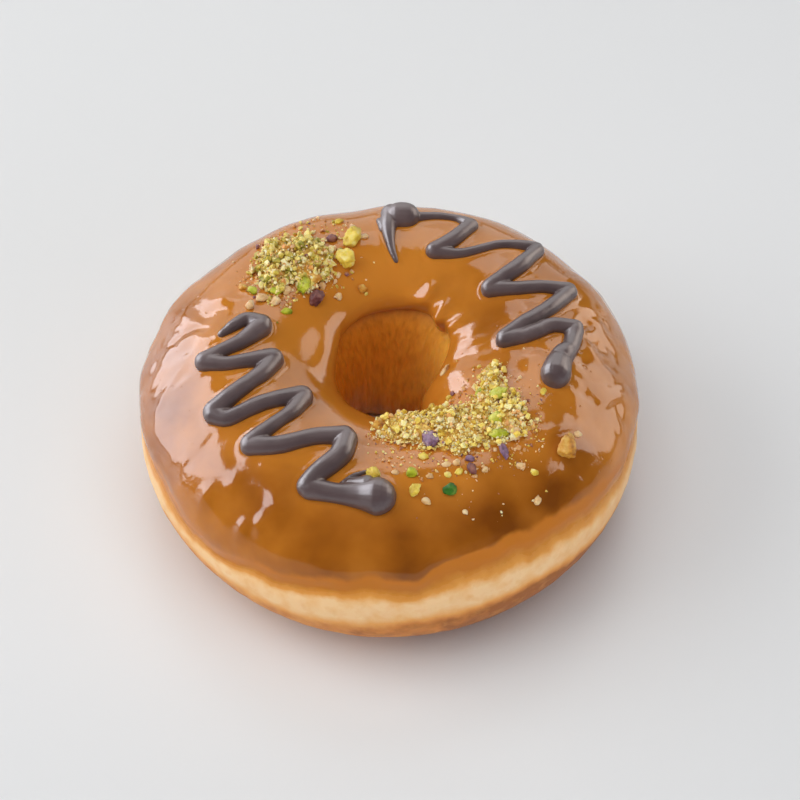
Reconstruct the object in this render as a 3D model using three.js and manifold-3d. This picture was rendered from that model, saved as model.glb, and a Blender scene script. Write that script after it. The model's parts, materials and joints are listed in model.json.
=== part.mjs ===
// A ring doughnut: fried dough under caramel icing, with two piped zigzags of dark chocolate
// and two heaps of chopped pistachio. Millimetres, +Z up, the front of the ring towards -Y.
// The origin is on the table, under the middle of the ring.

import * as THREE from 'three';
import { mergeVertices } from 'three/addons/utils/BufferGeometryUtils.js';
import Module from 'manifold-3d';

const wasm = await Module();
wasm.setup();

// The ring over its icing. Angles are in degrees: an azimuth runs round the ring from +X,
// and a tilt runs round its section, 0 at the belly, 90 at the crest and 180 at the hole.
const RING_RADIUS = 46;
const RING_HEIGHT = 35;
const BELLY_HEIGHT = 15.5;
const RING_CENTRE = { x: 0.2, y: 0.4 };
const HOLE = { x: 1.3, y: 2.9, radius: 10.2 }; // from the ring's centre
const HOLE_PINCH = { azimuth: -4, spread: 44, depth: 1.8 }; // where the hole is narrower, at the right
const UNDERSIDE_SINK = 0.6; // how far the round underside is pressed flat by the table
const SQUARENESS = 2.2; // exponent of the section's superellipse
const FOOT_SQUARENESS = 0.9; // added where the wall of the hole meets the underside
const FOOT_TILT = 225;
const OUTLINE_WAVES = [
  { times: 2, cos: 0.006, sin: 0.006 },
  { times: 3, cos: -0.004, sin: 0.009 },
  { times: 4, cos: 0.001, sin: -0.003 },
];

// The ring slopes more gently into the hole at the right, and the hole's wall swells near its foot
const APRON = { azimuth: 0, spread: 40, tilt: 156, reach: 30, rise: 3.0 };
const FOOT_SWELL = { azimuth: 70, spread: 46, tilt: 222, reach: 24, rise: 4.6 };

// The icing, a skin that lies in a hollow of the dough and ends in a wavy edge on both sides
const ICING_DEPTH = 1.5;
const GAP = 0.3; // between the dough and the icing
const OUTER_SHOULDER = { from: -18, to: 22 }; // tilts over which the dough gives way to the icing
const HOLE_SHOULDER = { from: 150, to: 195 };
const EDGE_ROUNDING = 1.6; // how far in from its edge the icing reaches its full thickness
const EDGE_THICKNESS = 0.35; // share of the thickness that is left at the very edge
const RIM = { rise: 0.25, reach: 4 }; // a low swelling along both edges
const OUTER_EDGE = 14;
const OUTER_BAYS = [
  { azimuth: -66, spread: 24, rise: 22 },
  { azimuth: -32, spread: 16, rise: 11 },
  { azimuth: -137, spread: 12, rise: -15 },
  { azimuth: 40, spread: 14, rise: -8 },
  { azimuth: 104, spread: 24, rise: 7 },
  { azimuth: 158, spread: 10, rise: -6 },
];
const EDGE_WAVES = [
  { times: 7, phase: 60, rise: 1.4 },
  { times: 12, phase: 200, rise: 0.9 },
];
const HOLE_EDGE = 158;
const HOLE_BAYS = [
  { azimuth: 92, spread: 42, rise: -20 },
  { azimuth: 8, spread: 34, rise: 12 },
  { azimuth: 50, spread: 9, rise: 10 },
];

// Broad unevenness of the icing, and the thick lip that it rolls into over the far wall of the hole
const SWELLS = [
  { azimuth: 60, spread: 26, tilt: 132, reach: 16, rise: 0.8 },
  { azimuth: 100, spread: 16, tilt: 128, reach: 12, rise: 0.45 },
  { azimuth: 158, spread: 34, tilt: 142, reach: 17, rise: 2.0 },
  { azimuth: 24, spread: 26, tilt: 134, reach: 14, rise: 1.3 },
  { azimuth: -16, spread: 16, tilt: 136, reach: 14, rise: 0.8 },
  { azimuth: -118, spread: 12, tilt: 48, reach: 12, rise: -0.5 },
  { azimuth: -92, spread: 14, tilt: 42, reach: 14, rise: 0.35 },
  { azimuth: -72, spread: 12, tilt: 58, reach: 12, rise: -0.4 },
  { azimuth: -46, spread: 14, tilt: 56, reach: 14, rise: 0.3 },
  { azimuth: -148, spread: 12, tilt: 44, reach: 14, rise: 0.3 },
  { azimuth: 156, spread: 7, tilt: 34, reach: 10, rise: 0.6 },
];

// Piped chocolate: every stroke runs from turn to turn as [x, y, width]
const LEFT_ZIGZAG = [
  [[-30.4, 3.9, 1.5], [-28.3, 5.7, 2.4], [-26.0, 7.3, 2.8], [-23.4, 6.3, 4.0]],
  [[-23.4, 5.6, 4.0], [-27.0, 1.9, 3.1], [-30.7, -0.4, 3.0], [-33.1, -2.2, 3.8]],
  [[-33.1, -2.4, 3.6], [-29.4, -3.2, 2.9], [-25.7, -2.6, 3.0], [-21.2, -1.6, 4.2]],
  [[-21.1, -1.9, 4.0], [-22.8, -5.4, 3.4], [-25.6, -8.4, 3.2], [-31.1, -13.4, 4.0]],
  [[-31.1, -14.0, 3.9], [-28.6, -15.2, 3.3], [-22.0, -12.4, 3.2], [-15.7, -9.9, 4.0]],
  [[-15.5, -10.5, 3.8], [-17.3, -14.4, 3.0], [-20.2, -17.4, 2.8], [-24.3, -21.2, 3.7]],
  [[-24.3, -21.7, 3.7], [-19.4, -22.2, 3.4], [-12.4, -20.4, 3.4], [-7.9, -20.3, 4.1]],
  [[-7.5, -21.0, 4.1], [-8.5, -24.6, 4.1], [-12.5, -28.4, 3.9], [-13.9, -30.4, 4.1]],
  [[-13.6, -30.9, 4.1], [-9.1, -32.0, 3.6], [-5.6, -32.5, 4.6], [-2.0, -33.0, 6.8]],
  [[-6.6, -30.6, 2.6], [-4.0, -31.2, 4.6]],
  [[-8.6, -30.5, 0.8], [-6.3, -28.9, 1.1], [-3.9, -27.9, 0.8]],
];
const RIGHT_ZIGZAG = [
  [[1.2, 23.9, 0.9], [0.4, 26.4, 1.6], [0.4, 29.4, 2.2], [1.7, 31.9, 3.6]],
  [[1.9, 32.6, 5.6], [2.8, 32.8, 5.6]],
  [[3.4, 33.2, 2.4], [8.9, 34.1, 1.7], [12.7, 33.8, 1.7], [15.3, 32.0, 2.6]],
  [[15.3, 31.6, 2.9], [11.8, 27.4, 3.1], [8.5, 25.0, 3.3]],
  [[8.5, 24.7, 3.0], [13.5, 24.2, 2.0], [21.0, 26.5, 1.9], [27.4, 26.6, 2.6]],
  [[27.5, 25.6, 2.8], [24.0, 20.3, 3.2], [18.8, 15.8, 3.4]],
  [[18.8, 15.4, 3.2], [24.2, 15.1, 2.7], [28.3, 15.7, 2.6], [33.0, 15.8, 3.0]],
  [[33.2, 15.2, 3.0], [28.7, 9.4, 3.2], [21.5, 3.6, 3.4]],
  [[21.5, 3.0, 3.4], [26.2, 3.7, 3.0], [29.7, 5.6, 3.0], [33.5, 5.6, 3.2]],
  [[33.7, 4.8, 3.4], [32.8, 0.9, 3.3], [30.5, -2.6, 3.4], [29.8, -6.2, 5.6]],
];
const BEAD_HEIGHT = 0.52; // share of a bead's width
const BEAD_SINK = 0.5;
const BEAD_STEPS = 4;
// Section of a bead: shares of its half width and of its height, from foot to foot
const BEAD_SECTION = [[1, 0.15], [0.74, 0.72], [0, 1], [-0.74, 0.72], [-1, 0.15]];
const CAP_STEPS = [0.55, 0.9]; // shares of the half width at which a round end is cut into rings

// Chopped nut: low heaps, the largest pieces where they lie, and crumbs strewn by rule
const HEAPS = [
  { x: 12.5, y: -18.0, across: 10.5, deep: 4.8, rise: 1.3 },
  { x: 19.5, y: -8.0, across: 3.2, deep: 5.0, rise: 0.7 },
  { x: 2.5, y: -18.6, across: 4.5, deep: 2.8, rise: 0.6 },
  { x: -17.5, y: 20.0, across: 8.6, deep: 6.6, rise: 1.3 },
  { x: -23.6, y: 16.6, across: 3.6, deep: 4.0, rise: 0.5 },
];
const NUGGETS = [
  { x: 30.7, y: -21.0, length: 4.2, width: 2.5 },
  { x: -2.4, y: -29.4, length: 3.0, width: 2.2 },
  { x: 7.4, y: -22.3, length: 3.0, width: 1.9 },
  { x: -8.3, y: 21.9, length: 3.4, width: 2.8 },
  { x: -7.3, y: 26.4, length: 3.2, width: 2.6 },
  { x: 21.0, y: -12.1, length: 3.2, width: 1.8 },
  { x: -13.5, y: 13.6, length: 2.7, width: 2.2 },
  { x: -15.7, y: 15.3, length: 2.6, width: 2.1 },
  { x: -20.6, y: 13.9, length: 2.1, width: 1.8 },
  { x: -10.6, y: 26.4, length: 2.3, width: 1.7 },
  { x: -24.8, y: 17.2, length: 2.1, width: 1.7 },
  { x: -23.4, y: 11.9, length: 1.9, width: 1.5 },
  { x: 19.0, y: -18.4, length: 2.4, width: 1.7 },
  { x: 21.6, y: -18.9, length: 2.3, width: 1.8 },
  { x: 10.7, y: -32.0, length: 2.0, width: 1.9 },
  { x: 20.0, y: -23.6, length: 2.1, width: 1.2 },
  { x: -1.8, y: -16.1, length: 2.0, width: 1.7 },
  { x: 4.2, y: -32.3, length: 1.8, width: 1.6 },
  { x: 4.0, y: -28.6, length: 1.7, width: 1.4 },
  { x: 26.2, y: -30.6, length: 1.6, width: 1.2 },
  { x: 25.5, y: -26.3, length: 1.5, width: 1.3 },
  { x: -5.3, y: 18.0, length: 1.5, width: 1.3 },
];
const NUGGET_FLATNESS = 0.8; // height of a piece as a share of its width
const CRUMB_SINK = 0.45;
const CRUMB_ROUGHNESS = 0.28;
// Crumbs strewn over an ellipse, from the largest to the smallest
const STREWN = [
  { x: 12.5, y: -18.6, across: 12.5, deep: 6.2, count: 40, largest: 1.7, smallest: 1.2 },
  { x: 19.5, y: -7.5, across: 3.4, deep: 5.4, count: 8, largest: 1.5, smallest: 1.1 },
  { x: 11.5, y: -26.6, across: 11.5, deep: 3.6, count: 9, largest: 1.2, smallest: 1.0 },
  { x: -17.6, y: 20.0, across: 9.4, deep: 7.4, count: 36, largest: 1.7, smallest: 1.2 },
  { x: -10.0, y: 30.5, across: 5.6, deep: 2.6, count: 5, largest: 1.2, smallest: 1.0 },
];
const CLEARANCE = 0.62; // least distance between strewn crumbs, as a share of their sizes added
const STREWING_SEED = 41;
const WELD = 0.002; // corners closer than this are one

// Fineness of the facets
const TURNS = 60;
const ICED_STEPS = 11; // of the dough under the icing
const BARE_STEPS = 16; // of the dough outside it
const ICING_STEPS = 16; // of the icing's outer face

const DOUGH = new THREE.MeshStandardMaterial({ color: '#d9964e', roughness: 0.7, metalness: 0 });
const ICING = new THREE.MeshStandardMaterial({ color: '#b8752a', roughness: 0.15, metalness: 0 });

const { clamp, degToRad, euclideanModulo, lerp, radToDeg, seededRandom, smoothstep } = THREE.MathUtils;

// A smooth bump in azimuth: 1 at its middle, falling to nothing over a few spreads
function bump(azimuth, middle, spread) {
  const away = euclideanModulo(azimuth - middle + 180, 360) - 180;
  return Math.exp(-((away / spread) ** 2));
}

function addBays(azimuth, bays) {
  return bays.reduce((sum, bay) => sum + bay.rise * bump(azimuth, bay.azimuth, bay.spread), 0);
}

function outerRadius(turn) {
  const stray = OUTLINE_WAVES.reduce(
    (sum, wave) => sum + wave.cos * Math.cos(wave.times * turn) + wave.sin * Math.sin(wave.times * turn),
    0,
  );
  return RING_RADIUS * (1 + stray);
}

// Distance from the ring's centre to the wall of the hole, a circle that lies off that centre
function innerRadius(turn) {
  const along = HOLE.x * Math.cos(turn) + HOLE.y * Math.sin(turn);
  const across = HOLE.x * Math.sin(turn) - HOLE.y * Math.cos(turn);
  const pinch = HOLE_PINCH.depth * bump(radToDeg(turn), HOLE_PINCH.azimuth, HOLE_PINCH.spread);
  return along + Math.sqrt(HOLE.radius ** 2 - across ** 2) - pinch;
}

function sectionAt(turn) {
  const outer = outerRadius(turn);
  const inner = innerRadius(turn);
  return { middle: (outer + inner) / 2, halfWidth: (outer - inner) / 2 };
}

// Outward direction of a superellipse at a point, as [across, up]
function outwardAt(across, up, halfWidth, halfHeight, power) {
  const outAcross = Math.sign(across) * (Math.abs(across / halfWidth) ** (power - 1)) / halfWidth;
  const outUp = Math.sign(up) * (Math.abs(up / halfHeight) ** (power - 1)) / halfHeight;
  const length = Math.hypot(outAcross, outUp);
  return [outAcross / length, outUp / length];
}

// A point of the ring's skin, moved out along its normal by lift and never under the table
function skinPoint(azimuth, tilt, lift) {
  const turn = degToRad(azimuth);
  const angle = degToRad(tilt);
  const { middle, halfWidth } = sectionAt(turn);
  const halfHeight = Math.sin(angle) > 0 ? RING_HEIGHT - BELLY_HEIGHT : BELLY_HEIGHT + UNDERSIDE_SINK;
  const power = SQUARENESS + FOOT_SQUARENESS * Math.max(0, Math.cos(angle - degToRad(FOOT_TILT))) ** 2;
  const shareAcross = Math.abs(Math.cos(angle) / halfWidth) ** power;
  const shareUp = Math.abs(Math.sin(angle) / halfHeight) ** power;
  const reach = (shareAcross + shareUp) ** (-1 / power);
  const across = reach * Math.cos(angle);
  const up = reach * Math.sin(angle);
  const [outAcross, outUp] = outwardAt(across, up, halfWidth, halfHeight, power);
  const out = lift + swell(azimuth, tilt, [APRON]);
  const radius = middle + across + out * outAcross;
  return new THREE.Vector3(
    RING_CENTRE.x + radius * Math.cos(turn),
    RING_CENTRE.y + radius * Math.sin(turn),
    Math.max(0, BELLY_HEIGHT + up + out * outUp),
  );
}

// How deep the dough lies under the ring's skin, to make room for the icing
function doughDepth(tilt) {
  const outside = smoothstep(tilt, OUTER_SHOULDER.from, OUTER_SHOULDER.to);
  const inside = 1 - smoothstep(tilt, HOLE_SHOULDER.from, HOLE_SHOULDER.to);
  return ICING_DEPTH * outside * inside;
}

function outerEdge(azimuth) {
  const wave = EDGE_WAVES.reduce(
    (sum, { times, phase, rise }) => sum + rise * Math.sin(degToRad(times * azimuth + phase)),
    0,
  );
  return OUTER_EDGE + addBays(azimuth, OUTER_BAYS) + wave;
}

function holeEdge(azimuth) {
  return HOLE_EDGE + addBays(azimuth, HOLE_BAYS);
}

function swell(azimuth, tilt, swells) {
  return swells.reduce((sum, one) => {
    const near = Math.exp(-(((tilt - one.tilt) / one.reach) ** 2));
    return sum + one.rise * near * bump(azimuth, one.azimuth, one.spread);
  }, 0);
}

// How high the heaps of nut stand over the icing at a place
function heapRise(x, y) {
  return HEAPS.reduce((highest, heap) => {
    const away = ((x - heap.x) / heap.across) ** 2 + ((y - heap.y) / heap.deep) ** 2;
    return Math.max(highest, heap.rise * Math.max(0, 1 - away) ** 0.7);
  }, 0);
}

// How far the icing's outer face lies off the ring's skin
function icingLift(azimuth, tilt) {
  const { halfWidth } = sectionAt(degToRad(azimuth));
  const fromEdge = Math.min(tilt - outerEdge(azimuth), holeEdge(azimuth) - tilt);
  const distance = degToRad(Math.max(0, fromEdge)) * halfWidth;
  const rounding = 1 - Math.min(distance / EDGE_ROUNDING, 1);
  const fullness = lerp(EDGE_THICKNESS, 1, Math.sqrt(1 - rounding ** 2));
  const rim = RIM.rise * Math.exp(-((distance / RIM.reach) ** 2));
  const under = GAP - doughDepth(tilt);
  const skin = skinPoint(azimuth, tilt, 0);
  const full = swell(azimuth, tilt, SWELLS) + rim + heapRise(skin.x, skin.y);
  return lerp(under, full, fullness);
}

// A closed body from closed profiles set round the ring
function loftRing(profileAt) {
  const profiles = [];
  for (let step = 0; step < TURNS; step += 1) {
    profiles.push(profileAt((360 * step) / TURNS));
  }
  const size = profiles[0].length;
  const positions = profiles.flat().flatMap((point) => point.toArray());
  const faces = [];
  for (let step = 0; step < TURNS; step += 1) {
    for (let corner = 0; corner < size; corner += 1) {
      const here = step * size + corner;
      const above = step * size + ((corner + 1) % size);
      const next = ((step + 1) % TURNS) * size + corner;
      const nextAbove = ((step + 1) % TURNS) * size + ((corner + 1) % size);
      faces.push(here, next, nextAbove, here, nextAbove, above);
    }
  }
  return indexedGeometry(positions, faces);
}

function indexedGeometry(positions, faces) {
  const geometry = new THREE.BufferGeometry();
  geometry.setAttribute('position', new THREE.Float32BufferAttribute(positions, 3));
  geometry.setIndex(faces);
  return geometry;
}

// Tilts of the dough's grid under the icing, which the icing's inner face shares
function icedTilts(azimuth) {
  const from = outerEdge(azimuth);
  const to = holeEdge(azimuth);
  return Array.from({ length: ICED_STEPS + 1 }, (_, step) => lerp(from, to, step / ICED_STEPS));
}

function doughProfile(azimuth) {
  const iced = icedTilts(azimuth);
  const from = iced[ICED_STEPS];
  const to = iced[0] + 360;
  for (let step = 1; step < BARE_STEPS; step += 1) {
    iced.push(lerp(from, to, step / BARE_STEPS));
  }
  const liftAt = (tilt) => swell(azimuth, tilt, [FOOT_SWELL]) - doughDepth(tilt);
  return iced.map((tilt) => skinPoint(azimuth, tilt, liftAt(tilt)));
}

// The icing's outer face, closer steps near its edges, then its inner face on the way back
function icingProfile(azimuth) {
  const from = outerEdge(azimuth);
  const to = holeEdge(azimuth);
  const points = [];
  for (let step = 0; step <= ICING_STEPS; step += 1) {
    const share = step / ICING_STEPS;
    const eased = (share + (1 - Math.cos(Math.PI * share)) / 2) / 2;
    const tilt = lerp(from, to, eased);
    points.push(skinPoint(azimuth, tilt, icingLift(azimuth, tilt)));
  }
  for (const tilt of icedTilts(azimuth).reverse()) {
    points.push(skinPoint(azimuth, tilt, GAP - doughDepth(tilt)));
  }
  return points;
}

// The place on the icing over a point of the plan: its position and its normal
function icingAt(x, y) {
  const fromX = x - RING_CENTRE.x;
  const fromY = y - RING_CENTRE.y;
  const turn = Math.atan2(fromY, fromX);
  const { middle, halfWidth } = sectionAt(turn);
  const halfHeight = RING_HEIGHT - BELLY_HEIGHT;
  const across = Math.hypot(fromX, fromY) - middle;
  const up = halfHeight * (1 - Math.abs(across / halfWidth) ** SQUARENESS) ** (1 / SQUARENESS);
  const [outAcross, outUp] = outwardAt(across, up, halfWidth, halfHeight, SQUARENESS);
  const normal = new THREE.Vector3(outAcross * Math.cos(turn), outAcross * Math.sin(turn), outUp);
  const [azimuth, tilt] = [radToDeg(turn), radToDeg(Math.atan2(up, across))];
  const lift = icingLift(azimuth, tilt) + swell(azimuth, tilt, [APRON]);
  const position = new THREE.Vector3(x, y, BELLY_HEIGHT + up).addScaledVector(normal, lift);
  return { position, normal };
}

// One ring of corners of a bead, scaled to size and lying across its direction
function beadRing({ place, forward, width, scale }) {
  const side = new THREE.Vector3().crossVectors(place.normal, forward).normalize();
  const half = (width / 2) * scale;
  const height = BEAD_HEIGHT * width * scale;
  const corner = (across, up) => place.position.clone()
    .addScaledVector(side, across)
    .addScaledVector(place.normal, up);
  const top = BEAD_SECTION.map(([across, up]) => corner(-across * half, up * height));
  return [corner(-half * 0.9, -BEAD_SINK), ...top, corner(half * 0.9, -BEAD_SINK)];
}

// Stations along a stroke: its body, and a half round at either end
function beadStations(stroke) {
  const points = stroke.map((point) => new THREE.Vector3(...point));
  const curve = new THREE.CatmullRomCurve3(points, false, 'centripetal');
  const stations = [];
  const add = (share, beyond, scale) => {
    const at = curve.getPoint(share);
    const forward = curve.getTangent(share).setZ(0).normalize();
    const width = at.z;
    const reach = (beyond * width) / 2;
    const place = icingAt(at.x + reach * forward.x, at.y + reach * forward.y);
    stations.push({ place, forward, width, scale });
  };
  [...CAP_STEPS].reverse().forEach((share) => add(0, -share, Math.sqrt(1 - share ** 2)));
  for (let step = 0; step <= BEAD_STEPS; step += 1) {
    add(step / BEAD_STEPS, 0, 1);
  }
  CAP_STEPS.forEach((share) => add(1, share, Math.sqrt(1 - share ** 2)));
  return stations;
}

// A bead of chocolate along one stroke, its foot sunk in the icing
function beadGeometry(stroke) {
  const rings = beadStations(stroke).map(beadRing);
  const size = rings[0].length;
  const positions = rings.flat().flatMap((point) => point.toArray());
  const faces = [];
  for (let ring = 0; ring < rings.length - 1; ring += 1) {
    for (let corner = 0; corner < size; corner += 1) {
      const here = ring * size + corner;
      const beside = ring * size + ((corner + 1) % size);
      faces.push(here, here + size, beside, beside, here + size, beside + size);
    }
  }
  const last = (rings.length - 1) * size;
  for (let corner = 1; corner < size - 1; corner += 1) {
    faces.push(0, corner, corner + 1);
    faces.push(last, last + corner + 1, last + corner);
  }
  return indexedGeometry(positions, faces);
}

// An angular piece of nut, its foot sunk in what it lies on
function pieceOfNut({ x, y, length, width }, isSmall) {
  const round = isSmall ? new THREE.OctahedronGeometry(0.5) : new THREE.IcosahedronGeometry(0.5);
  round.deleteAttribute('normal');
  round.deleteAttribute('uv');
  const geometry = mergeVertices(round);
  const corners = geometry.getAttribute('position');
  for (let index = 0; index < corners.count; index += 1) {
    const corner = new THREE.Vector3().fromBufferAttribute(corners, index);
    corner.multiplyScalar(1 + CRUMB_ROUGHNESS * (seededRandom() - 0.5));
    corners.setXYZ(index, corner.x, corner.y, corner.z);
  }
  const height = width * NUGGET_FLATNESS;
  const place = icingAt(x, y);
  geometry.rotateX(isSmall ? 0.6 : 0.3);
  geometry.scale(length, width, height);
  geometry.rotateZ(Math.PI * seededRandom());
  const upright = new THREE.Vector3(0, 0, 1);
  geometry.applyQuaternion(new THREE.Quaternion().setFromUnitVectors(upright, place.normal));
  const centre = place.position.addScaledVector(place.normal, height / 2 - CRUMB_SINK);
  geometry.translate(centre.x, centre.y, centre.z);
  return geometry;
}

function isClear(crumb, others) {
  return others.every((other) => {
    const away = Math.hypot(crumb.x - other.x, crumb.y - other.y);
    return away > CLEARANCE * (crumb.length + other.length);
  });
}

// Places for the crumbs: random in each ellipse, clear of the pieces that lie there already
function strewCrumbs() {
  const crumbs = [];
  for (const { x, y, across, deep, count, largest, smallest } of STREWN) {
    let placed = 0;
    for (let attempt = 0; attempt < 60 * count && placed < count; attempt += 1) {
      const turn = 2 * Math.PI * seededRandom();
      const away = Math.sqrt(seededRandom());
      const length = lerp(largest, smallest, placed / count);
      const crumb = {
        x: x + across * away * Math.cos(turn),
        y: y + deep * away * Math.sin(turn),
        length,
        width: length * lerp(0.75, 1, seededRandom()),
      };
      if (isClear(crumb, [...NUGGETS, ...crumbs])) {
        crumbs.push(crumb);
        placed += 1;
      }
    }
  }
  return crumbs;
}

function toSolid(geometry) {
  const merged = mergeVertices(geometry, WELD);
  return new wasm.Manifold(new wasm.Mesh({
    numProp: 3,
    vertProperties: new Float32Array(merged.getAttribute('position').array),
    triVerts: new Uint32Array(merged.getIndex().array),
  }));
}

function toGeometry(solid) {
  const { vertProperties, triVerts } = solid.getMesh();
  return indexedGeometry(Array.from(vertProperties), Array.from(triVerts));
}

// Joins the toppings to the icing. A hollow shut in between them is filled.
function joinSolids(geometries) {
  const joined = geometries.map(toSolid).reduce((whole, piece) => whole.add(piece));
  const welded = toSolid(toGeometry(joined));
  const [body] = welded.decompose().sort((one, other) => other.volume() - one.volume());
  return toGeometry(body);
}

function makeDough() {
  const mesh = new THREE.Mesh(loftRing(doughProfile), DOUGH);
  mesh.name = 'dough_ring';
  return mesh;
}

function makeIcing() {
  seededRandom(STREWING_SEED);
  const beads = [...LEFT_ZIGZAG, ...RIGHT_ZIGZAG].map(beadGeometry);
  const nuggets = NUGGETS.map((nugget) => pieceOfNut(nugget, false));
  const crumbs = strewCrumbs().map((crumb) => pieceOfNut(crumb, true));
  const skin = loftRing(icingProfile);
  const mesh = new THREE.Mesh(joinSolids([skin, ...beads, ...nuggets, ...crumbs]), ICING);
  mesh.name = 'caramel_icing';
  return mesh;
}

const doughnut = new THREE.Group();
doughnut.add(makeDough(), makeIcing());
doughnut.traverse((item) => {
  if (item.isMesh) {
    item.geometry.computeVertexNormals();
  }
});

export default doughnut;
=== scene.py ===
"""A ring doughnut on a pale table: fried dough, caramel icing, piped chocolate and chopped pistachio.

Sizes are in millimetres, as a baker would give them, and become metres where a mesh is made.
Angles are in degrees. An azimuth runs round the ring from +X, and a tilt runs round its section:
0 at the belly, 90 at the crest and 180 at the hole. A size called a side is an azimuth with its
spread, one called a fade, start or end lies between two tilts, and knots are azimuths with a tilt each.
"""

import json
import logging
import math
from collections.abc import Sequence
from dataclasses import dataclass
from enum import Enum

import bmesh
import bpy
import numpy as np
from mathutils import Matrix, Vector, noise

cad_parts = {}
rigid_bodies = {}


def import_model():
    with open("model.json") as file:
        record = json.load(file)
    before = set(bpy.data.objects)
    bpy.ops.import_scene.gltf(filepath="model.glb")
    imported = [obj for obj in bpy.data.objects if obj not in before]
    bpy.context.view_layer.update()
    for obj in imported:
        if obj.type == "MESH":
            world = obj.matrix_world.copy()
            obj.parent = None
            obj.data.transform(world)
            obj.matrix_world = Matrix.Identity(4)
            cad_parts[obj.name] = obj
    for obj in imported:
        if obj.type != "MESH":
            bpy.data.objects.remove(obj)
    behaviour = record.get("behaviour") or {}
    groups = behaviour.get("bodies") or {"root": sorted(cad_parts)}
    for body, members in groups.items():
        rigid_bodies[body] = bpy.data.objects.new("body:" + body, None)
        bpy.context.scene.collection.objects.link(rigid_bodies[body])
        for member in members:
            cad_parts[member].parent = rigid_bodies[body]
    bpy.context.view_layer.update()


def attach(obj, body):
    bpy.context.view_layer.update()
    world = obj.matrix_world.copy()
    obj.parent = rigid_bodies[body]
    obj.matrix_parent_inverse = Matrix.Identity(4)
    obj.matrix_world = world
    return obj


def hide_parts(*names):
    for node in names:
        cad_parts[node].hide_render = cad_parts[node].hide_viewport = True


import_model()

log = logging.getLogger("doughnut")

MM = 0.001
Array = np.ndarray
Socket = bpy.types.NodeSocket
Point = tuple[float, float]
Triple = tuple[float, float, float]
Quad = tuple[int, int, int, int]
Stroke = Sequence[Triple]
Palette = Sequence[tuple[float, str]]
# How deep red, green and blue light wanders in crumb and icing, and in nut, as shares of one depth.
CRUMB_GLOW = (1.0, 0.5, 0.2)
NUT_GLOW = (1.0, 0.8, 0.35)
# A mix node has three sockets of each name, and these are the numbers of those for colours.
COLOUR_A = 6
COLOUR_B = 7
MIXED = 2


def smoothstep(value: Array, low: float, high: float) -> Array:
    """Ease from 0 to 1 between two values.

    Args:
        value: The values to ease.
        low: Where the result leaves 0.
        high: Where the result reaches 1.

    Returns:
        The eased values.
    """
    share = np.clip((value - low) / (high - low), 0.0, 1.0)
    return share * share * (3.0 - 2.0 * share)


def bump(azimuth: Array, middle: float, spread: float) -> Array:
    """Rise to 1 at an azimuth and fall to nothing a few spreads away.

    Args:
        azimuth: Where to measure, in degrees.
        middle: Azimuth of the top.
        spread: Width of the bump, in degrees.

    Returns:
        The height of the bump at each azimuth.
    """
    away = (azimuth - middle + 180.0) % 360.0 - 180.0
    return np.exp(-((away / spread) ** 2))


def ripple(points: Array, size: float, seed: int) -> Array:
    """Give smooth noise of about -1 to 1 at each point.

    Args:
        points: Places in millimetres, one to a row.
        size: Distance from hill to hill, in millimetres.
        seed: Picks one pattern of hills.

    Returns:
        The noise at each point.
    """
    shift = Vector((13.1, 7.7, 3.3)) * seed
    return np.array([noise.noise(Vector(point) / size + shift) for point in points])


def follow_knots(azimuth: Array, knots: tuple[Point, ...], blur: float) -> Array:
    """Follow a closed line of knots round the ring, its corners softened.

    Args:
        azimuth: Where to measure, in degrees.
        knots: Azimuths with the line's value at each.
        blur: How far a corner is softened, in degrees.

    Returns:
        The line's value at each azimuth.
    """
    places = np.arange(0.0, 360.0, 0.5)
    line = np.interp(places, *zip(*knots), period=360.0)
    brush = bump(places, 0.0, blur)
    softened = np.fft.irfft(np.fft.rfft(line) * np.fft.rfft(brush / brush.sum()), len(places))
    return np.interp(azimuth, places, softened, period=360.0)


def flat(x: Array, y: Array) -> Array:
    """Give places in plan as points on the table."""
    return np.column_stack([x, y, np.zeros(len(x))])


def from_line(points: Array, start: Point, end: Point) -> Array:
    """Give the distance from each point in plan to a straight line between two others.

    Args:
        points: Places in millimetres, one to a row.
        start: Where the line starts.
        end: Where it ends.

    Returns:
        The distance of each point.
    """
    first, along = np.array(start), np.array(end) - np.array(start)
    share = np.clip((points[:, :2] - first) @ along / (along @ along), 0.0, 1.0)
    return np.linalg.norm(points[:, :2] - first - share[:, None] * along, axis=1)


@dataclass(frozen=True)
class Hills:
    """Smooth hills and dips all over: height and distance apart in millimetres, and a seed."""

    rise: float
    size: float
    seed: int

    def over(self, points: Array) -> Array:
        """Give the height at each point, given in millimetres, one to a row."""
        return self.rise * ripple(points, self.size, self.seed)


@dataclass(frozen=True)
class Swell:
    """A low hill or a dent, rise in millimetres."""

    azimuth: float
    spread: float
    tilt: float
    reach: float
    rise: float

    def height(self, azimuth: Array, tilt: Array) -> Array:
        """Give the swell's height at azimuths and tilts in degrees."""
        near = np.exp(-(((tilt - self.tilt) / self.reach) ** 2))
        return self.rise * near * bump(azimuth, self.azimuth, self.spread)


@dataclass(frozen=True)
class Crease:
    """A narrow ridge or groove of the icing along a line in plan."""

    line: tuple[Point, ...]
    width: float
    rise: float

    def height(self, points: Array) -> Array:
        """Give the crease's height over each point.

        Args:
            points: Places in millimetres, one to a row.

        Returns:
            The height at each point.
        """
        nearest = np.full(len(points), np.inf)
        for start, end in zip(self.line[:-1], self.line[1:]):
            nearest = np.minimum(nearest, from_line(points, start, end))
        return self.rise * np.exp(-((nearest / self.width) ** 2))


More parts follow.
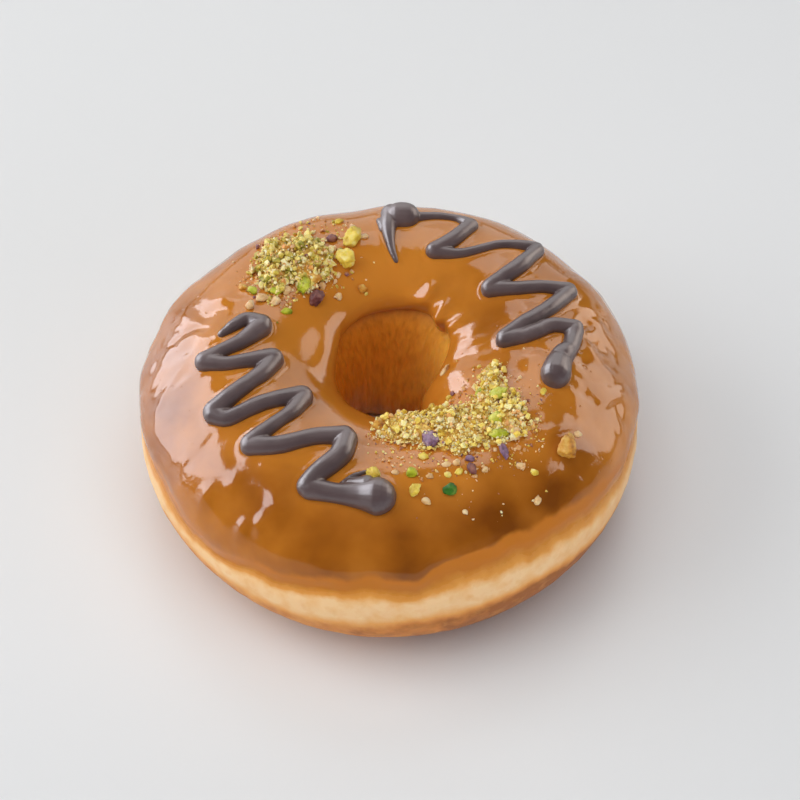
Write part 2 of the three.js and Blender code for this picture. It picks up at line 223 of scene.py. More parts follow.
@dataclass(frozen=True)
class RingForm:
    """Outline and section of the ring over its icing."""

    radius: float = 46.0
    height: float = 35.0
    belly_height: float = 15.5
    centre: Point = (0.2, 0.4)
    hole_offset: Point = (1.3, 2.9)
    hole_radius: float = 10.2
    pinch: Point = (-4.0, 1.8)
    pinch_spread: float = 44.0
    apron: Swell = Swell(0, 40, 156, 30, 3.0)
    underside_sink: float = 0.6
    squareness: float = 2.2
    foot_squareness: float = 0.9
    foot_tilt: float = 225.0
    waves: tuple[tuple[int, float, float], ...] = (
        (2, 0.006, 0.006), (3, -0.004, 0.009), (4, 0.001, -0.003),
    )

    def section(self, turn: Array) -> tuple[Array, Array]:
        """Give the section's middle and half width.

        Args:
            turn: Azimuths in radians.

        Returns:
            Distance of the section's middle from the ring's centre, and half the section's width.
        """
        stray = sum(
            cos * np.cos(times * turn) + sin * np.sin(times * turn) for times, cos, sin in self.waves
        )
        outer = self.radius * (1.0 + stray)
        along = self.hole_offset[0] * np.cos(turn) + self.hole_offset[1] * np.sin(turn)
        across = self.hole_offset[0] * np.sin(turn) - self.hole_offset[1] * np.cos(turn)
        inner = along + np.sqrt(self.hole_radius**2 - across**2)
        middle, depth = self.pinch
        inner -= depth * bump(np.degrees(turn), middle, self.pinch_spread)
        return (outer + inner) / 2.0, (outer - inner) / 2.0

    def skin(self, azimuth: Array, tilt: Array) -> tuple[Array, Array]:
        """Give places on the ring's skin and the directions outwards.

        Args:
            azimuth: Azimuths in degrees.
            tilt: Tilts in degrees, as many as azimuths.

        Returns:
            Places in millimetres and unit normals, one to a row.
        """
        turn, angle = np.radians(azimuth), np.radians(tilt)
        middle, half_width = self.section(turn)
        upper = self.height - self.belly_height
        half_height = np.where(np.sin(angle) > 0.0, upper, self.belly_height + self.underside_sink)
        foot = np.maximum(0.0, np.cos(angle - math.radians(self.foot_tilt))) ** 2
        power = self.squareness + self.foot_squareness * foot
        share_across = np.abs(np.cos(angle) / half_width) ** power
        share_up = np.abs(np.sin(angle) / half_height) ** power
        reach = (share_across + share_up) ** (-1.0 / power)
        across, up = reach * np.cos(angle), reach * np.sin(angle)
        out_across = np.sign(across) * np.abs(across / half_width) ** (power - 1.0) / half_width
        out_up = np.sign(up) * np.abs(up / half_height) ** (power - 1.0) / half_height
        length = np.hypot(out_across, out_up)
        out_across, out_up = out_across / length, out_up / length
        radius = middle + across
        places = np.stack([
            self.centre[0] + radius * np.cos(turn),
            self.centre[1] + radius * np.sin(turn),
            self.belly_height + up,
        ], axis=1)
        normals = np.stack([out_across * np.cos(turn), out_across * np.sin(turn), out_up], axis=1)
        return places + self.apron.height(azimuth, tilt)[:, None] * normals, normals

    def place(self, azimuth: Array, tilt: Array, lift: Array) -> Array:
        """Give places off the ring's skin, never under the table.

        Args:
            azimuth: Azimuths in degrees.
            tilt: Tilts in degrees, as many as azimuths.
            lift: Distances out along the normal, in millimetres.

        Returns:
            Places in millimetres, one to a row.
        """
        places, normals = self.skin(azimuth, tilt)
        lifted = places + np.asarray(lift)[:, None] * normals
        lifted[:, 2] = np.maximum(lifted[:, 2], 0.0)
        return lifted

    def angles_over(self, x: Array, y: Array) -> tuple[Array, Array]:
        """Give the azimuth and tilt of the upper skin over places in plan.

        Args:
            x: Places along X in millimetres.
            y: Places along Y in millimetres.

        Returns:
            Azimuths and tilts in degrees.
        """
        from_x, from_y = x - self.centre[0], y - self.centre[1]
        turn = np.arctan2(from_y, from_x)
        middle, half_width = self.section(turn)
        upper = self.height - self.belly_height
        across = np.hypot(from_x, from_y) - middle
        share = np.clip(np.abs(across / half_width), 0.0, 0.999)
        up = upper * (1.0 - share**self.squareness) ** (1.0 / self.squareness)
        return np.degrees(turn), np.degrees(np.arctan2(up, across))


@dataclass(frozen=True)
class IcingForm:
    """The icing: a skin in a hollow of the dough that ends in a wavy edge on both sides."""

    ring: RingForm
    depth: float = 1.5
    gap: float = -0.1
    outer_shoulder: Point = (-12.0, 24.0)
    hole_shoulder: Point = (150.0, 195.0)
    feather: float = 3.2
    film_share: float = 0.72
    skin_share: float = 0.6
    pool_step: Point = (-5.0, 8.0)
    lip_rounding: float = 1.2
    lip_start: float = 0.35
    rim_rise: float = 0.12
    rim_reach: float = 4.0
    pool_knots: tuple[Point, ...] = (
        (-164, 17), (-154, 18), (-147, 15), (-140, 10), (-131, 9), (-120, 17), (-110, 20), (-100, 23),
        (-94, 26), (-86, 26), (-82.5, 27), (-81, 32), (-78, 32), (-72, 35), (-66, 34), (-60, 36), (-55, 35),
        (-48, 33), (-42, 29), (-35, 26), (-28, 24), (-22, 22), (-15, 19), (-8, 16), (0, 15), (20, 15),
        (40, 10), (60, 15), (90, 20), (105, 23), (125, 18), (145, 15), (158, 10), (170, 12),
    )
    film_knots: tuple[Point, ...] = (
        (-165, 12), (-152, 17), (-140, 11), (-130, 8), (-118, 11), (-95, 13), (-85, 15), (-80, 19),
        (-70, 21), (-58, 22), (-48, 21), (-31, 20), (-21, 18), (-11, 13), (0, 10), (60, 8), (120, 8),
    )
    hole_knots: tuple[Point, ...] = (
        (-170, 156), (-140, 160), (-100, 165), (-60, 170), (-20, 172), (0, 168), (10, 160), (20, 152),
        (30, 148), (38, 144), (46, 141), (52, 144), (57, 143), (63, 138), (75, 137), (90, 138),
        (110, 139), (128, 143), (140, 148), (160, 154),
    )
    edge_waves: tuple[tuple[int, float, float], ...] = ((12, 200, 0.9), (23, 40, 0.6), (41, 10, 0.4))
    swells: tuple[Swell, ...] = (
        Swell(60, 26, 132, 14, 0.8),
        Swell(100, 16, 128, 12, 0.45),
        Swell(158, 36, 138, 11, 2.4),
        Swell(24, 26, 134, 14, 1.3),
        Swell(-16, 16, 136, 14, 0.8),
        Swell(-118, 12, 48, 12, -0.5),
        Swell(-92, 14, 42, 14, 0.35),
        Swell(-72, 12, 58, 12, -0.4),
        Swell(-46, 14, 56, 14, 0.3),
        Swell(-148, 12, 44, 14, 0.3),
        Swell(156, 7, 34, 10, 0.6),
        Swell(-168, 26, 27, 11, 0.7),
        Swell(-168, 26, 54, 12, -0.35),
        Swell(-10, 24, 27, 11, 0.6),
        Swell(-10, 24, 52, 12, -0.3),
    )
    bumps: tuple[tuple[float, float, float, float], ...] = (
        (-19.8, -33.3, 2.6, 1.05),
        (-32.3, -27.3, 1.3, 0.55),
        (-22.8, -34.6, 1.2, 0.5),
        (-25.8, -34.0, 1.3, 0.55),
        (-33.5, 9.5, 2.6, -0.4),
        (-36.5, 3.5, 2.2, -0.3),
        (-30.5, 13.5, 1.6, 0.35),
        (-27.5, -27.5, 1.5, 0.4),
        (30.0, -12.5, 2.4, -0.25),
        (37.0, 1.5, 2.2, 0.3),
        (36.2, 8.2, 1.5, -0.5),
        (38.8, 3.4, 1.3, -0.45),
        (35.0, -1.6, 1.2, -0.4),
        (4.0, 15.8, 1.7, 0.9),
        (10.6, 13.6, 1.9, 1.3),
        (12.9, 10.6, 1.4, 0.8),
    )
    creases: tuple[Crease, ...] = (
        Crease(((8.0, 17.6), (5.4, 16.0)), 1.7, 1.2),
        Crease(((10.1, 14.6), (9.6, 12.6)), 1.5, 0.6),
        Crease(((2.6, 15.6), (6.4, 15.2), (9.6, 13.4), (11.6, 10.8)), 1.0, 0.7),
        Crease(((-31.5, -17.9), (-33.4, -20.2), (-36.4, -21.6), (-39.1, -20.5)), 0.9, -0.1),
        Crease(((-36.6, -4.8), (-39.8, -5.9), (-41.8, -8.5), (-41.6, -12.4), (-38.6, -18.5)), 0.7, 0.12),
        Crease(((-42.0, -15.0), (-38.4, -21.9), (-34.2, -26.5)), 0.8, 0.14),
        Crease(((-41.0, -6.0), (-38.0, -2.0)), 0.6, 0.14),
        Crease(((-39.5, 6.0), (-36.0, 7.5), (-33.8, 6.4)), 0.8, -0.2),
        Crease(((-21.8, -25.4), (-18.5, -27.0), (-15.5, -27.6)), 0.8, 0.14),
        Crease(((27.8, -18.2), (33.2, -15.7), (37.6, -10.6), (42.1, -4.9)), 0.7, 0.24),
        Crease(((27.6, 0.4), (31.5, -3.0), (33.5, -8.0), (37.0, -9.0)), 0.9, -0.2),
        Crease(((34.5, 6.0), (36.5, 1.0), (40.0, -1.5)), 0.8, 0.2),
        Crease(((30.3, -24.5), (28.2, -26.6), (27.4, -28.4)), 0.8, 0.2),
        Crease(((20.0, -38.0), (26.0, -34.5), (31.5, -29.5), (34.0, -24.5)), 0.9, 0.12),
    )
    waves: Hills = Hills(0.5, 12.0, 1)
    ripples: Hills = Hills(0.16, 5.0, 2)
    grain: Hills = Hills(0.03, 2.4, 3)
    crinkles: Hills = Hills(0.5, 4.4, 7)
    bubbles: Hills = Hills(0.16, 1.9, 6)
    folds: Hills = Hills(1.0, 9.0, 12)
    fold_height: float = 0.3
    fold_stretch: float = 6.0
    fold_fade: Point = (55.0, 95.0)
    right_side: Point = (2.0, 34.0)
    right_rise: Point = (30.0, 60.0)
    right_fade: Point = (92.0, 112.0)
    left_side: Point = (176.0, 34.0)
    left_fade: Point = (70.0, 105.0)
    bubbly_side: Point = (8.0, 26.0)
    bubbly_from: Point = (114.0, 128.0)
    relief_fade: Point = (0.0, 3.0)
    strokes: tuple[Stroke, ...] = ()
    meniscus: tuple[float, float, float] = (0.25, 0.45, 0.16)

    def pool_edge(self, azimuth: Array) -> Array:
        """Give where the poured icing ends on the outside of the ring, a wavy line.

        Args:
            azimuth: Azimuths in degrees.

        Returns:
            Tilts in degrees.
        """
        wave = sum(
            rise * np.sin(np.radians(times * azimuth + phase)) for times, phase, rise in self.edge_waves
        )
        return follow_knots(azimuth, self.pool_knots, 1.5) + wave

    def film(self, azimuth: Array, tilt: Array) -> Array:
        """Give how much icing soaks the crust, 1 at the thick icing's edge and 0 on bare crust.

        Args:
            azimuth: Azimuths in degrees.
            tilt: Tilts in degrees.

        Returns:
            The film at each place.
        """
        width = follow_knots(azimuth, self.film_knots, 4.0)
        return np.clip(1.0 + (tilt - self.pool_edge(azimuth)) / width, 0.0, 1.0)

    def outer_edge(self, azimuth: Array) -> Array:
        """Give the tilt of the skin's thin edge on the outside of the ring, at azimuths in degrees."""
        return self.pool_edge(azimuth) - self.skin_share * follow_knots(azimuth, self.film_knots, 4.0)

    def hole_edge(self, azimuth: Array) -> Array:
        """Give the tilt of the icing's edge in the hole, at azimuths in degrees."""
        return follow_knots(azimuth, self.hole_knots, 2.0)

    def dough_depth(self, azimuth: Array, tilt: Array) -> Array:
        """Give how deep the dough lies under the ring's skin.

        Args:
            azimuth: Azimuths in degrees.
            tilt: Tilts in degrees, as many as azimuths.

        Returns:
            Depths in millimetres.
        """
        past_edge = tilt - self.outer_edge(azimuth)
        outside = smoothstep(past_edge, *self.outer_shoulder)
        inside = 1.0 - smoothstep(tilt, *self.hole_shoulder)
        return self.depth * outside * inside

    def from_edge(self, azimuth: Array, tilt: Array) -> Array:
        """Give the distance from the nearer edge of the icing.

        Args:
            azimuth: Azimuths in degrees.
            tilt: Tilts in degrees.

        Returns:
            Distances in millimetres.
        """
        _, half_width = self.ring.section(np.radians(azimuth))
        tilts = np.minimum(tilt - self.outer_edge(azimuth), self.hole_edge(azimuth) - tilt)
        return np.radians(np.maximum(0.0, tilts)) * half_width

    def roughness(self, azimuth: Array, tilt: Array) -> Array:
        """Give where the icing is lumpy and pitted: the right side up to the crest, the left side's slope.

        Args:
            azimuth: Azimuths in degrees.
            tilt: Tilts in degrees.

        Returns:
            The roughness at each place, from 0 to 1.
        """
        upwards = 0.6 + 0.4 * smoothstep(tilt, *self.right_rise)
        right = bump(azimuth, *self.right_side) * upwards * (1.0 - 0.85 * smoothstep(tilt, *self.right_fade))
        left = 0.5 * bump(azimuth, *self.left_side) * (1.0 - smoothstep(tilt, *self.left_fade))
        return np.minimum(right + left, 1.0)

    def curtains(self, azimuth: Array, tilt: Array) -> Array:
        """Give the soft folds that run down the outer slope where the icing flowed.

        Args:
            azimuth: Azimuths in degrees.
            tilt: Tilts in degrees.

        Returns:
            The folds' height, about -0.5 to 0.5, and nothing past the crest.
        """
        turn = np.radians(azimuth)
        # Folds are long down the slope, so the tilt counts for little.
        along = np.radians(tilt) * self.fold_stretch
        rows = np.column_stack([self.ring.radius * np.cos(turn), self.ring.radius * np.sin(turn), along])
        return self.folds.over(rows) * (1.0 - smoothstep(tilt, *self.fold_fade))

    def round_piping(self, places: Array) -> Array:
        """Give the low rim that icing makes where it wets the side of the piping.

        Args:
            places: Places in millimetres, one to a row.

        Returns:
            Heights in millimetres.
        """
        clearance = np.full(len(places), np.inf)
        for stroke in self.strokes:
            for x, y, width in smooth_line(stroke, 0.7):
                away = np.hypot(places[:, 0] - x, places[:, 1] - y) - width / 2.0
                clearance = np.minimum(clearance, away)
        middle, reach, rise = self.meniscus
        return rise * np.exp(-(((clearance - middle) / reach) ** 2))

    def relief(self, azimuth: Array, tilt: Array, places: Array) -> Array:
        """Give the hills, dents and creases of the icing.

        Args:
            azimuth: Azimuths in degrees.
            tilt: Tilts in degrees.
            places: The same places on the ring's skin, in millimetres.

        Returns:
            Heights in millimetres.
        """
        rough = self.roughness(azimuth, tilt)
        bubbly = bump(azimuth, *self.bubbly_side) * smoothstep(tilt, *self.bubbly_from)
        height = self.waves.over(places)
        height += (0.6 + 0.8 * rough) * self.ripples.over(places)
        height += rough * np.abs(self.crinkles.over(places))
        height += (0.5 + 2.0 * rough) * self.grain.over(places)
        height += self.fold_height * self.curtains(azimuth, tilt)
        height += bubbly * self.bubbles.over(places)
        for swell in self.swells:
            height += swell.height(azimuth, tilt)
        for x, y, width, rise in self.bumps:
            away = np.hypot(places[:, 0] - x, places[:, 1] - y)
            height += rise * np.exp(-((away / width) ** 2))
        return height + self.round_piping(places) + sum(crease.height(places) for crease in self.creases)

    def lift(self, azimuth: Array, tilt: Array) -> Array:
        """Give how far the icing's outer face lies off the ring's skin.

        Args:
            azimuth: Azimuths in degrees.
            tilt: Tilts in degrees.

        Returns:
            Distances in millimetres.
        """
        distance = self.from_edge(azimuth, tilt)
        rounding = 1.0 - np.minimum(distance / self.lip_rounding, 1.0)
        lip = self.lip_start + (1.0 - self.lip_start) * np.sqrt(1.0 - rounding**2)
        pool = smoothstep(tilt - self.pool_edge(azimuth), *self.pool_step)
        film = self.film_share * smoothstep(distance, -0.4, self.feather)
        fullness = np.where(tilt < 90.0, film + (1.0 - self.film_share) * pool, lip)
        rim = self.rim_rise * np.exp(-(((distance - self.feather) / self.rim_reach) ** 2))
        places, _ = self.ring.skin(azimuth, tilt)
        under = self.gap - self.dough_depth(azimuth, tilt)
        full = rim + self.relief(azimuth, tilt, places) * smoothstep(distance, *self.relief_fade)
        return under + (full - under) * fullness

    def over(self, x: Array, y: Array, rise: Array | float = 0.0) -> tuple[Array, Array]:
        """Give places over points in plan, on the icing or off it.

        Args:
            x: Places along X in millimetres.
            y: Places along Y in millimetres.
            rise: Distances off the icing's face, in millimetres.

        Returns:
            Places in millimetres and unit normals, one to a row.
        """
        azimuth, tilt = self.ring.angles_over(x, y)
        places, normals = self.ring.skin(azimuth, tilt)
        lift = self.lift(azimuth, tilt) + rise
        return places + lift[:, None] * normals, normals


def linear(colour: str) -> tuple[float, float, float, float]:
    """Turn an sRGB hex colour into the linear colour that shaders take.

    Args:
        colour: Such as "#c08030".

    Returns:
        Red, green, blue and an alpha of 1.
    """
    shares = [int(colour[start : start + 2], 16) / 255.0 for start in (1, 3, 5)]
    red, green, blue = (s / 12.92 if s <= 0.04045 else ((s + 0.055) / 1.055) ** 2.4 for s in shares)
    return red, green, blue, 1.0


def per_mm(size: float) -> float:
    """Turn a pattern's size in millimetres into the scale that a texture in metres takes."""
    return 1.0 / (size * MM)


class NodeGraph:
    """A tree of nodes that grows one node at a time."""

    def __init__(self, tree: bpy.types.NodeTree) -> None:
        """Take a material's, a room's or a shape's tree."""
        self.tree = tree

    def add_node(
        self,
        kind: str,
        inputs: dict[str | int, object] | None = None,
        output: str | int = 0,
        stops: Palette = (),
        **settings: object,
    ) -> Socket | None:
        """Add a node with its settings, values and links.

        Args:
            kind: The node's type name.
            inputs: A value for each named or numbered input, or the socket that feeds it.
            output: The output that is wanted, by name or number.
            stops: Places from 0 to 1 with their colours, for a node that has a ramp.
            settings: The node's own properties.

        Returns:
            The wanted output, or None where a node ends the tree.
        """
        node = self.tree.nodes.new(kind)
        for name, value in settings.items():
            setattr(node, name, value)
        for index, (place, colour) in enumerate(stops):
            elements = node.color_ramp.elements
            element = elements[index] if index < 2 else elements.new(place)
            element.position, element.color = place, linear(colour)
        for name, value in (inputs or {}).items():
            if isinstance(value, Socket):
                self.tree.links.new(value, node.inputs[name])
            else:
                node.inputs[name].default_value = value
        return node.outputs[output] if node.outputs else None

    def spots(self, size: float, detail: float = 2.0, stretch: Triple = (1.0, 1.0, 1.0)) -> Socket:
        """Draw soft spots that keep their real size on the object.

        Args:
            size: Distance from spot to spot, in millimetres.
            detail: How many finer layers they have.
            stretch: Spots for each one along X, Y and Z.

        Returns:
            How strong the spots are, about 0.2 to 0.8.
        """
        place = self.add_node("ShaderNodeTexCoord", output="Object")
        turned = self.add_node("ShaderNodeMapping", {"Vector": place, "Scale": stretch})
        return self.add_node("ShaderNodeTexNoise", {
            "Vector": turned, "Scale": per_mm(size), "Detail": detail,
        })

    def mottled(self, name: str, size: float, spread: float, detail: float = 2.0) -> Socket:
        """Make a number that the mesh holds uneven by spots of a real size.

        Args:
            name: The number's name.
            size: Distance from spot to spot, in millimetres.
            spread: How much the spots add or take away.
            detail: How many finer layers they have.

        Returns:
            The uneven number.
        """
        even = self.add_node("ShaderNodeAttribute", output="Fac", attribute_name=name)
        uneven = self.add_node("ShaderNodeMapRange", {
            "Value": self.spots(size, detail),
            "From Min": 0.3, "From Max": 0.7, "To Min": -spread, "To Max": spread,
        })
        return self.add_node("ShaderNodeMath", {0: even, 1: uneven}, operation="ADD")


class Finish:
    """What every finish shares: a named material with one shader."""

    title: str

    def make(self) -> bpy.types.Material:
        """Build the material.

        Returns:
            The finished material.
        """
        material = bpy.data.materials.new(self.title)
        material.use_nodes = True
        graph = NodeGraph(material.node_tree)
        graph.tree.nodes.clear()
        shader = graph.add_node("ShaderNodeBsdfPrincipled", self.surface(graph))
        graph.add_node("ShaderNodeOutputMaterial", {"Surface": shader})
        return material

    def surface(self, graph: NodeGraph) -> dict[str | int, object]:
        """Give the shader's values and links.

        Args:
            graph: The material's nodes.

        Returns:
            A value or socket for each input that isn't left as it is.
        """
        raise NotImplementedError


@dataclass(frozen=True)
class IcingFilm:
    """Icing that soaked the crust past the poured edge.

    It turns cream crust to gold and then to caramel, with faint streaks where it ran.
    """

    gold: str = "#e59f48"
    caramel: str = "#c47522"
    streak_size: float = 2.6  # A run of icing is 2 to 3 mm wide.
    gold_range: Point = (0.0, 0.26)
    caramel_range: Point = (0.16, 0.66)

    def over(self, graph: NodeGraph, crust: object) -> tuple[Socket, Socket]:
        """Lay the film over a crust.

        Args:
            graph: The material's nodes.
            crust: The bare crust's colour, as a value or a socket.

        Returns:
            The soaked colour, and the film from 0 to 1.
        """
        film = graph.mottled("film", self.streak_size, 0.08, 3.0)
        colour = crust
        for soaked, (start, full) in ((self.gold, self.gold_range), (self.caramel, self.caramel_range)):
            share = graph.add_node("ShaderNodeMapRange", {
                "Value": film, "From Min": start, "From Max": full,
            })
            mixed = {"Factor": share, COLOUR_A: colour, COLOUR_B: linear(soaked)}
            colour = graph.add_node("ShaderNodeMix", mixed, MIXED, data_type="RGBA")
        return colour, film


@dataclass(frozen=True)
class CaramelIcing(Finish):
    """Caramel icing, poured warm and set: sugar and fat under a smooth wet skin.

    The eye sees sharp, bright reflections like varnish, a little light inside the icing, brown where it
    has run together and gold where it thins out. The front and left slopes are darkened further by
    painted shade. Where it only soaks the crust there is no skin to reflect, so the specular level falls
    there and the gloss spreads.
    """

    title: str = "poured_caramel_icing"
    usual: str = "#cb7f2b"
    # thick and deep are reached where the depth number is high, which holds painted shade as well as pooled
    # icing.
    thick: str = "#9d5a18"
    deep: str = "#7c4210"
    soaked: str = "#f0c390"
    film: IcingFilm = IcingFilm()
    cloud_size: float = 9.0  # Icing gathers in pools about a centimetre apart.
    edge_size: float = 3.0  # The poured edge frays by some 3 mm.
    pore_size: float = 0.9  # Real pores are 0.1 to 0.3 mm, and are drawn coarser so that they show.
    pit_spacing: float = 1.8  # Burst bubbles of 0.3 to 1 mm lie about 2 mm apart.
    pit_depth: float = 0.12
    pore_depth: float = 0.02

    def surface(self, graph: NodeGraph) -> dict[str | int, object]:
        """Give the icing's clouds of tone, its thin edge, its pores and its pits. See Finish.surface."""
        body = graph.add_node(
            "ShaderNodeValToRGB",
            {"Fac": graph.mottled("depth", self.cloud_size, 0.2, 3.0)},
            stops=((0.0, self.usual), (0.68, self.thick), (1.0, self.deep)),
        )
        soaked, _ = self.film.over(graph, linear(self.soaked))
        thickness = graph.add_node(
            "ShaderNodeMapRange",
            {"Value": graph.mottled("pooled", self.edge_size, 0.12), "From Min": 0.2, "From Max": 0.8},
            interpolation_type="SMOOTHSTEP",
        )
        pores = graph.add_node(
            "ShaderNodeBump", {"Height": graph.spots(self.pore_size), "Distance": self.pore_depth * MM}
        )
        mixed = {"Factor": thickness, COLOUR_A: soaked, COLOUR_B: body}
        return {
            "Base Color": graph.add_node("ShaderNodeMix", mixed, MIXED, data_type="RGBA"),
            "Roughness": graph.add_node("ShaderNodeMapRange", {
                "Value": thickness, "To Min": 0.2, "To Max": 0.1,
            }),
            "IOR": 1.5,
            "Specular IOR Level": graph.add_node(
                "ShaderNodeMapRange", {"Value": thickness, "To Min": 0.22, "To Max": 0.5}
            ),
            "Subsurface Weight": 0.15,
            "Subsurface Radius": CRUMB_GLOW,
            "Subsurface Scale": 1.8 * MM,
            "Normal": graph.add_node(
                "ShaderNodeBump",
                {"Height": self.pits(graph), "Distance": -self.pit_depth * MM, "Normal": pores},
            ),
        }

    def pits(self, graph: NodeGraph) -> Socket:
        """Draw round pits of many sizes where bubbles burst in the lumpy icing.

        Args:
            graph: The material's nodes.

        Returns:
            How deep the pits are, 1 at the middle of each.
        """
        place = graph.add_node("ShaderNodeTexCoord", output="Object")
        cells = graph.add_node("ShaderNodeTexVoronoi", {"Vector": place, "Scale": per_mm(self.pit_spacing)})
        size = graph.add_node("ShaderNodeMapRange", {
            "Value": graph.spots(3.5 * self.pit_spacing),
            "From Min": 0.45, "From Max": 0.7, "To Min": 0.02, "To Max": 0.3,
        })
        share = graph.add_node("ShaderNodeMath", {0: cells, 1: size}, operation="DIVIDE")
        deep = graph.add_node(
            "ShaderNodeMapRange",
            {"Value": share, "From Min": 0.3, "To Min": 1.0, "To Max": 0.0},
            interpolation_type="SMOOTHSTEP",
        )
        pitted = graph.add_node("ShaderNodeAttribute", output="Fac", attribute_name="pitted")
        return graph.add_node("ShaderNodeMath", {0: pitted, 1: deep}, operation="MULTIPLY")


@dataclass(frozen=True)
class FriedDough(Finish):
    """Raised wheat dough, fried in oil: a thin, soft crust round a moist crumb.

    The eye sees a dull, slightly oily skin, cream where the ring floated and brown where it fried; the
    brown is deepened on the front right by painted shade. In the hole the crust is torn: there the crumb
    shows in stretched fibres, and light goes deep into it, and the wall is painted paler on its side that
    faces the light, which is painted light.
    """

    title: str = "fried_raised_dough"
    cream: str = "#f6cc96"
    golden: str = "#eca85a"
    brown: str = "#cf823c"
    # The dark stop is reached where painted shade adds to the browning on the front right.
    dark: str = "#a2602c"
    film: IcingFilm = IcingFilm()
    wall: str = "#ea932c"
    # Painted light: the paler wall colour where light falls on the hole's wall.
    painted_light_wall: str = "#ffb64a"
    fibre: str = "#b9680f"
    browning_size: float = 4.0  # Oil browns the crust in blotches of 3 to 5 mm.
    fibre_size: float = 0.8  # Fibres of crumb are about 0.3 mm thick, drawn coarser so that they show.
    fibre_stretch: Triple = (1.0, 1.0, 0.12)
    fibre_depth: float = 0.4
    wrinkle_size: float = 0.7  # The skin's finest wrinkles are 0.2 to 0.5 mm, also drawn coarser.
    wrinkle_depth: float = 0.05

    def surface(self, graph: NodeGraph) -> dict[str | int, object]:
        """Give the crust's browning, its soaked rim, its torn wall and its wrinkles. See Finish.surface."""
        # The browning number holds painted shade on the front right as well as real frying.
        crust = graph.add_node(
            "ShaderNodeValToRGB",
            {"Fac": graph.mottled("browning", self.browning_size, 0.16, 4.0)},
            stops=((0.0, self.cream), (0.45, self.golden), (0.8, self.brown), (1.0, self.dark)),
        )
        glazed, film = self.film.over(graph, crust)
        torn = graph.add_node("ShaderNodeAttribute", output="Fac", attribute_name="torn")
        fibres = graph.spots(self.fibre_size, 3.0, self.fibre_stretch)
        dull = graph.add_node("ShaderNodeMapRange", {
            "Value": film, "From Max": 0.5, "To Min": 0.5, "To Max": 0.24,
        })
        wrinkles = graph.add_node("ShaderNodeBump", {
            "Height": graph.spots(self.wrinkle_size, 3.0), "Distance": self.wrinkle_depth * MM,
        })
        stretched = graph.add_node("ShaderNodeMath", {0: fibres, 1: torn}, operation="MULTIPLY")
        mixed = {"Factor": torn, COLOUR_A: glazed, COLOUR_B: self.torn_wall(graph, fibres)}
        return {
            "Base Color": graph.add_node("ShaderNodeMix", mixed, MIXED, data_type="RGBA"),
            "Roughness": graph.add_node("ShaderNodeMix", {"Factor": torn, 2: dull, 3: 0.34}),
            "IOR": 1.5,
            "Specular IOR Level": 0.25,
            "Subsurface Weight": graph.add_node(
                "ShaderNodeMapRange", {"Value": torn, "To Min": 0.15, "To Max": 0.5}
            ),
            "Subsurface Radius": CRUMB_GLOW,
            "Subsurface Scale": graph.add_node(
                "ShaderNodeMapRange", {"Value": torn, "To Min": 1.8 * MM, "To Max": 4.0 * MM}
            ),
            "Normal": graph.add_node(
                "ShaderNodeBump",
                {"Height": stretched, "Distance": self.fibre_depth * MM, "Normal": wrinkles},
            ),
        }

    def torn_wall(self, graph: NodeGraph, fibres: Socket) -> Socket:
        """Give the hole wall's colour: darker fibres, and painted light that makes the side facing the light
        paler.

        Args:
            graph: The material's nodes.
            fibres: How strong the fibres are.

        Returns:
            The wall's colour.
        """
        # The pale number is painted light on the side of the wall that faces the light; the fibres fade
        # there too.
        pale = graph.add_node("ShaderNodeAttribute", output="Fac", attribute_name="pale")
        sides = {"Factor": pale, COLOUR_A: linear(self.wall), COLOUR_B: linear(self.painted_light_wall)}
        fresh = graph.add_node("ShaderNodeMix", sides, MIXED, data_type="RGBA")
        strong = graph.add_node("ShaderNodeMapRange", {
            "Value": fibres, "From Min": 0.38, "From Max": 0.7, "To Max": 0.55,
        })
        faint = graph.add_node("ShaderNodeMapRange", {"Value": pale, "To Min": 1.0, "To Max": 0.4})
        strands = graph.add_node("ShaderNodeMath", {0: strong, 1: faint}, operation="MULTIPLY")
        mixed = {"Factor": strands, COLOUR_A: fresh, COLOUR_B: linear(self.fibre)}
        return graph.add_node("ShaderNodeMix", mixed, MIXED, data_type="RGBA")


@dataclass(frozen=True)
class DarkChocolate(Finish):
    """Dark coating chocolate, piped soft and set in the air.

    The eye sees a brown near black with a wide satin gloss, and a faint grey bloom in patches. Its cocoa
    butter and sugar lie close under the skin, so its IOR is taken high for the strength of that gloss.
    """

    title: str = "piped_dark_chocolate"
    dark: str = "#524242"
    bloom: str = "#604e4d"
    bloom_size: float = 5.0  # Bloom comes in patches of about 5 mm.
    drag_size: float = 1.1  # The nozzle drags the chocolate into ripples about 1 mm long.
    drag_depth: float = 0.03

    def surface(self, graph: NodeGraph) -> dict[str | int, object]:
        """Give the chocolate's bloom and its faint ripples. See Finish.surface."""
        bloom = graph.add_node(
            "ShaderNodeMapRange", {"Value": graph.spots(self.bloom_size), "From Min": 0.35, "From Max": 0.7}
        )
        return {
            "Base Color": graph.add_node(
                "ShaderNodeValToRGB", {"Fac": bloom}, stops=((0.0, self.dark), (1.0, self.bloom))
            ),
            "Roughness": graph.add_node("ShaderNodeMapRange", {
                "Value": bloom, "To Min": 0.33, "To Max": 0.42,
            }),
            "IOR": 1.75,
            "Normal": graph.add_node(
                "ShaderNodeBump", {"Height": graph.spots(self.drag_size), "Distance": self.drag_depth * MM}
            ),
        }


